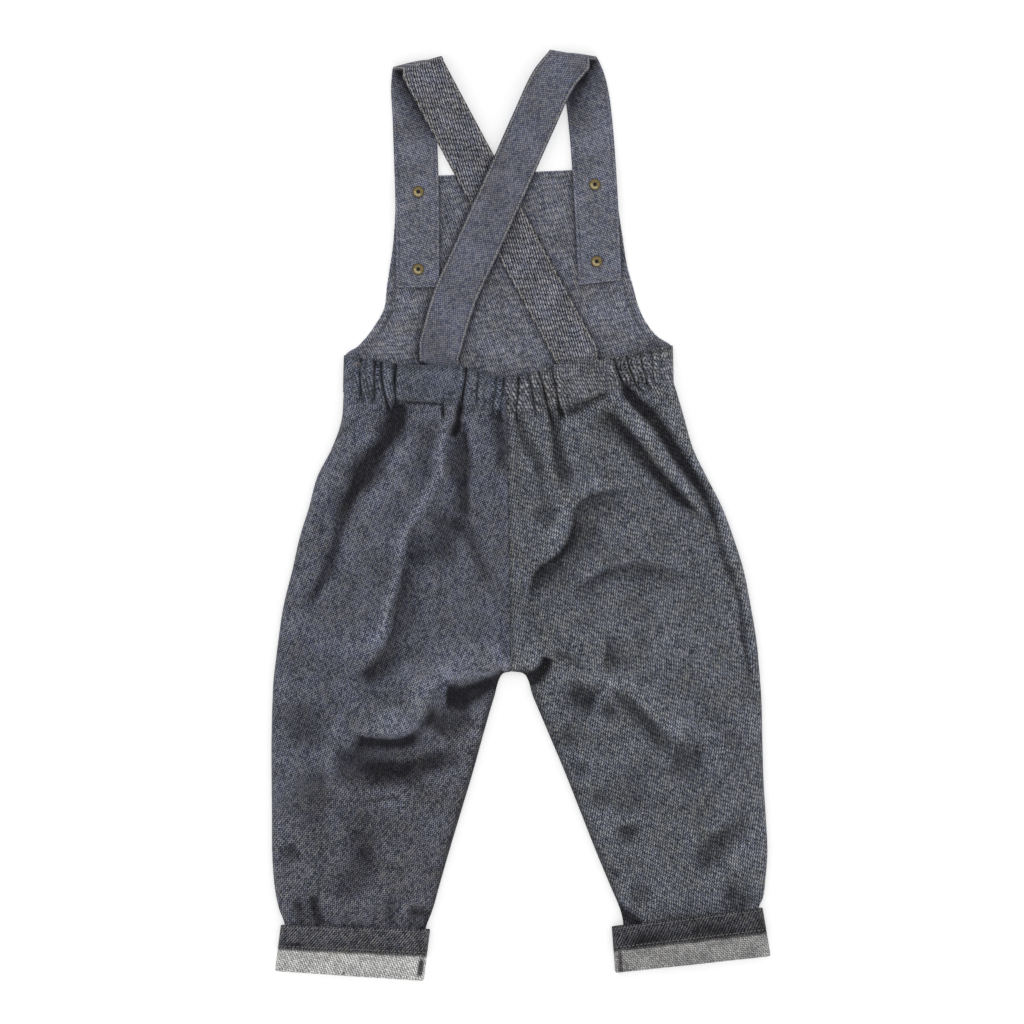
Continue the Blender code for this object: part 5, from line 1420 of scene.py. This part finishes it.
def stitch_tree(material):
    """Stitches along rows of points: each is a slim rounded thread laid along the row."""
    t = Tree(bpy.data.node_groups.new("Stitches", "GeometryNodeTree"))
    t.sockets("INPUT", "NodeSocketGeometry", "Geometry")
    t.sockets("INPUT", "NodeSocketFloat", "Length", "Thickness")
    t.sockets("OUTPUT", "NodeSocketGeometry", "Geometry")
    given = t.node("NodeGroupInput").outputs
    size = t.out("ShaderNodeCombineXYZ", {0: given["Length"], 1: given["Thickness"], 2: given["Thickness"]})
    ball = t.out("GeometryNodeMeshUVSphere", {"Segments": 6, "Rings": 5, "Radius": 0.5})
    turned = t.out("GeometryNodeTransform", {"Geometry": ball, "Rotation": (0.0, math.pi / 2, 0.0)})
    sized = t.out("GeometryNodeTransform", {"Geometry": turned, "Scale": size})
    smoothed = t.out("GeometryNodeSetShadeSmooth", {"Geometry": sized})
    along, out = (t.out("GeometryNodeInputNamedAttribute", {"Name": name}, data_type="FLOAT_VECTOR")
                  for name in ("along", "out"))
    first = t.out("FunctionNodeAlignRotationToVector", {"Vector": along}, axis="X")
    second = t.out("FunctionNodeAlignRotationToVector", {"Rotation": first, "Vector": out}, axis="Z",
                   pivot_axis="X")
    placed = t.out("GeometryNodeInstanceOnPoints",
                   {"Points": given["Geometry"], "Instance": smoothed, "Rotation": second})
    real = t.out("GeometryNodeRealizeInstances", {"Geometry": placed})
    done = t.out("GeometryNodeSetMaterial", {"Geometry": real, "Material": material})
    t.put(t.node("NodeGroupOutput").inputs[0], done)
    return t.tree


def sampled(values, run, at):
    """Rows of values along a line, read off at some lengths along it."""
    return np.stack([np.interp(at, run, values[:, k]) for k in range(3)], 1)


def make_stitches(name, rows, material, length, thickness):
    """Even stitches along each row, made into one mesh."""
    places, along, out = [], [], []
    for row in rows:
        run = run_along(row.points)
        count = max(2, int(run[-1] / row.pitch))
        at = (np.arange(count) + 0.5) * run[-1] / count
        normal = unit(sampled(row.out, run, at))
        places.append(sampled(row.points, run, at) + normal * STITCH_LIFT)
        ahead, behind = (sampled(row.points, run, at + way) for way in (STITCH_AHEAD, -STITCH_AHEAD))
        along.append(unit(ahead - behind))
        out.append(normal)
    mesh = bpy.data.meshes.new(name)
    mesh.from_pydata((np.vstack(places) * MM).tolist(), [], [])
    for key, values in (("along", along), ("out", out)):
        values = np.vstack(values).astype(np.float32)
        mesh.attributes.new(key, "FLOAT_VECTOR", "POINT").data.foreach_set("vector", values.ravel())
    obj = add_object(name, mesh)
    modifier = obj.modifiers.new("Stitches", "NODES")
    modifier.node_group = stitch_tree(material)
    for item in modifier.node_group.interface.items_tree:
        if item.in_out == "INPUT" and item.name in ("Length", "Thickness"):
            modifier[item.identifier] = (length if item.name == "Length" else thickness) * MM
    evaluated = obj.evaluated_get(bpy.context.evaluated_depsgraph_get())
    finished = bpy.data.meshes.new_from_object(evaluated)
    obj.modifiers.clear()
    obj.data = finished
    finished.name = name
    return obj


def row_on(height, points, lift, pitch=STITCH_PITCH, per_span=3):
    """A row of stitches on a piece whose middle height is a field of x and y."""
    path = curve(points, per_span)
    x, y = path[:, 0], path[:, 1]
    e = 0.5
    gx = (height(x + e, y) - height(x - e, y)) / (2 * e)
    gy = (height(x, y + e) - height(x, y - e)) / (2 * e)
    out = unit(np.stack([-gx, -gy, np.ones_like(gx)], 1))
    return Row(np.column_stack([path, height(x, y) + lift]), out, pitch)


def inset_line(points, gap):
    """A line beside another, gap to its left."""
    path = curve(points, 8)
    way = unit(np.gradient(path, axis=0))
    return path + np.stack([-way[:, 1], way[:, 0]], 1) * gap


def flat_row(points, pitch=STITCH_PITCH):
    """A row of stitches that stand straight up."""
    return Row(points, np.tile([0.0, 0.0, 1.0], (len(points), 1)), pitch)


def bib_rows():
    """Along both armholes and the top, inside the hem."""
    inset = BIB_STITCH_INSET
    rows = []
    for line, gap in zip(sides(BIB), (inset, -inset)):
        path = inset_line(line, gap)
        path = path[(path[:, 1] > BIB_STITCH_SPAN[0]) & (path[:, 1] < BIB_STITCH_SPAN[1])]
        rows.append(row_on(bib_mid, path, HEM_TOP, per_span=1))
    top = np.array([BIB[0][:2], BIB[0][2:]]) + np.array([[inset, -inset], [-inset, -inset]])
    return rows + [row_on(bib_mid, top, HEM_TOP, per_span=60)]


def seam_rows():
    """Two rows down the felled centre seam, from below the casing."""
    line = [point for point in SEAM[::3] if point[1] < SEAM_STITCH_TOP]
    return [row_on(leg_mid, [(x + gap, y) for x, y in line], CLOTH / 2) for gap in SEAM_STITCH_GAPS]


def casing_rows():
    """Along the casing's foot."""
    across = np.linspace(*CASING_STITCH_SPAN, 90)
    foot = [(x, float(line_y(CASING_FOOT, x)) + CASING_STITCH_UP) for x in across]
    return [row_on(casing_mid, foot, CASING_FACE)]


def strap_rows():
    """Along both edges of each strap, and twice across the end of its limb."""
    edge = STRAP_WIDTH / 2 - STITCH_INSET
    widths = np.array([edge + 0.5, edge, edge - 0.5, -edge + 0.5, -edge, -edge - 0.5])   # for the normals too
    rows = []
    for strap in STRAPS.values():
        grid, stations = strap_grid(strap, widths, 2.0)
        keep = stations < stations[-1] - STITCH_INSET
        for k in (1, 4):
            normal = grid_normals(grid[:, k - 1:k + 2])[:, 1]
            points = grid[:, k] + normal * (STRAP_THICK / 2 - STRAP_STITCH_SINK)
            rows.append(Row(points[keep], normal[keep], STRAP_STITCH_PITCH))
        for back in LIMB_STITCHES:
            start, end = grid[int(np.argmin(np.abs(stations - (stations[-1] - back)))), [1, 4]]
            points = start + (end - start) * np.linspace(0, 1, 12)[:, None]
            rows.append(flat_row(points + (0.0, 0.0, STRAP_THICK / 2), LIMB_STITCH_PITCH))
    return rows


def turn_up_rows():
    """Along the hem's top and just above its edge, on each cuff's upper wall."""
    rows = []
    for name in CUFFS:
        tall, (down, above) = cuff_tall(name), HEM_STITCHES
        for up in (tall - down, tall * (1.0 - BAND_SHARE) + above):
            left, way, width = across_cuff(name, up)
            ring = cuff_ring(width, 0.0, BAND_STEP)
            upper = ring[ring[:, 1] > CUFF_HEIGHT / 2]
            rows.append(flat_row(np.column_stack([left + way * upper[:, :1], upper[:, 1]])))
    return rows


def bar_tack_rows():
    """Four short slanting rows close together, at the casing's left end."""
    return [row_on(casing_mid, [(x, BAR_TACK_TOP), (x + 0.4, BAR_TACK_FOOT)], CASING_FACE, BAR_TACK_PITCH, 10)
            for x in np.linspace(*BAR_TACK_SPAN, 4)]


# ---------------------------------------------------------------- everything that is sewn together

CLOTHS = {
    "leg_left": cloth_material("Leg twill left", "leg_left", "leg_left_low"),
    "leg_right": cloth_material("Leg twill right", "leg_right"),
    "casing": cloth_material("Casing twill", "casing", "casing_right"),
    "bib": cloth_material("Bib twill", "bib"),
    "strap_left": cloth_material("Strap twill left", "strap_left", "limb"),
    "strap_right": cloth_material("Strap twill right", "strap_right", "limb"),
    "cuff": cloth_material("Wrong side of the twill", "cuff", "band"),
}
brass = plain_material("Aged brass", (0.27, 0.205, 0.09), 0.45, 0.6, spots=900.0)
# Painted shade in the ring's eye; it is also the first material, which the cap below the bib keeps.
hole = plain_material("Dark eye", (0.02, 0.018, 0.014), 0.7)
# The lip's painted highlight.
lip = plain_material("Worn brass with painted highlight", (0.52, 0.44, 0.25), 0.45, 0.4)
rim = plain_material("Dark brass", (0.125, 0.10, 0.055), 0.5, 0.5, spots=900.0)
thread = plain_material("Grey-green thread", (0.115, 0.11, 0.09), 0.8)
pale_thread = plain_material("Pale thread", (0.52, 0.47, 0.37), 0.8)
grey_thread = plain_material("Grey thread", (0.30, 0.30, 0.29), 0.8)

pieces = {}
for side in LEGS:
    pieces["back_leg_" + side] = make_back_leg(side)
    pieces["front_leg_" + side] = make_front_leg(side)
pieces["front_bib"] = make_bib()
pieces["back_waist_casing"] = make_casing()
pieces.update({name: make_strap(name) for name in STRAPS})
pieces.update({name: make_cuff(name) for name in CUFFS})
pieces.update({name: make_button(name, place, (hole, lip, brass, rim)) for name, place in BUTTONS.items()})

for node, obj in pieces.items():
    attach(obj, "root")
    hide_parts(node)

STITCHING = {       # its rows, its thread, a stitch's length and thickness, and its slot
    "bib_stitching": (bib_rows, thread, 2.2, 0.6, "bib_twill"),
    "seam_stitching": (seam_rows, thread, 2.2, 0.6, "leg_twill"),
    "casing_stitching": (casing_rows, thread, 2.2, 0.6, "casing_twill"),
    "strap_stitching": (strap_rows, pale_thread, 1.6, 0.75, "strap_twill"),
    "turn_up_stitching": (turn_up_rows, grey_thread, 1.9, 0.55, "cuff_twill"),
    "waist_bar_tack": (bar_tack_rows, pale_thread, 1.5, 0.5, "casing_twill"),
}
sewing = {}
for name, (rows, material, length, thickness, slot) in STITCHING.items():
    sewing[name] = make_stitches(name, rows(), material, length, thickness)
    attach(sewing[name], "root")


# ---------------------------------------------------------------- floor, lights and camera, in metres

FLOOR = 9.0
GLOW = 0.42
WORLD_LIGHT = 0.70
KEY_PLACE, KEY_SIZE, KEY_POWER = (-0.5, 1.85, 1.3), (1.5, 0.8), 170.0
VIEW_WIDTH, VIEW_X, VIEW_Y, VIEW_HEIGHT = 0.768, -0.0071, 0.0026, 3.0
SENSOR = 36.0


def add_floor():
    """White paper that glows a little, so that it stays white in the garment's soft shadow."""
    mesh = bpy.data.meshes.new("floor")
    corners = [(x * FLOOR, y * FLOOR, 0.0) for x, y in ((-1, -1), (1, -1), (1, 1), (-1, 1))]
    mesh.from_pydata(corners, [], [(0, 1, 2, 3)])
    paper = plain_material("White paper", (0.92, 0.92, 0.92), 0.9)
    shader = paper.node_tree.nodes["Principled BSDF"].inputs
    shader["Emission Color"].default_value = (1.0, 1.0, 1.0, 1.0)
    shader["Emission Strength"].default_value = GLOW
    mesh.materials.append(paper)
    add_object("floor", mesh)


def add_light():
    """A large soft light beyond the shoulders, turned towards the garment's middle."""
    data = bpy.data.lights.new("Key", "AREA")
    data.shape = "RECTANGLE"
    data.size, data.size_y = KEY_SIZE
    data.energy = KEY_POWER
    light = add_object("Key", data)
    light.location = KEY_PLACE
    way = -np.array(KEY_PLACE)
    light.rotation_euler = (math.acos(-way[2] / np.linalg.norm(way)), 0.0, math.atan2(way[0], -way[1]))


def add_camera():
    data = bpy.data.cameras.new("Camera")
    data.sensor_width = SENSOR
    data.lens = SENSOR * VIEW_HEIGHT / VIEW_WIDTH
    camera = add_object("Camera", data)
    camera.location = (VIEW_X, VIEW_Y, VIEW_HEIGHT + 0.004)
    bpy.context.scene.camera = camera


add_floor()
world = bpy.context.scene.world or bpy.data.worlds.new("Studio")
bpy.context.scene.world = world
world.use_nodes = True
background = world.node_tree.nodes["Background"].inputs
background["Color"].default_value = (1.0, 1.0, 1.0, 1.0)
background["Strength"].default_value = WORLD_LIGHT
add_light()
add_camera()
bpy.context.scene.view_settings.view_transform = "Standard"
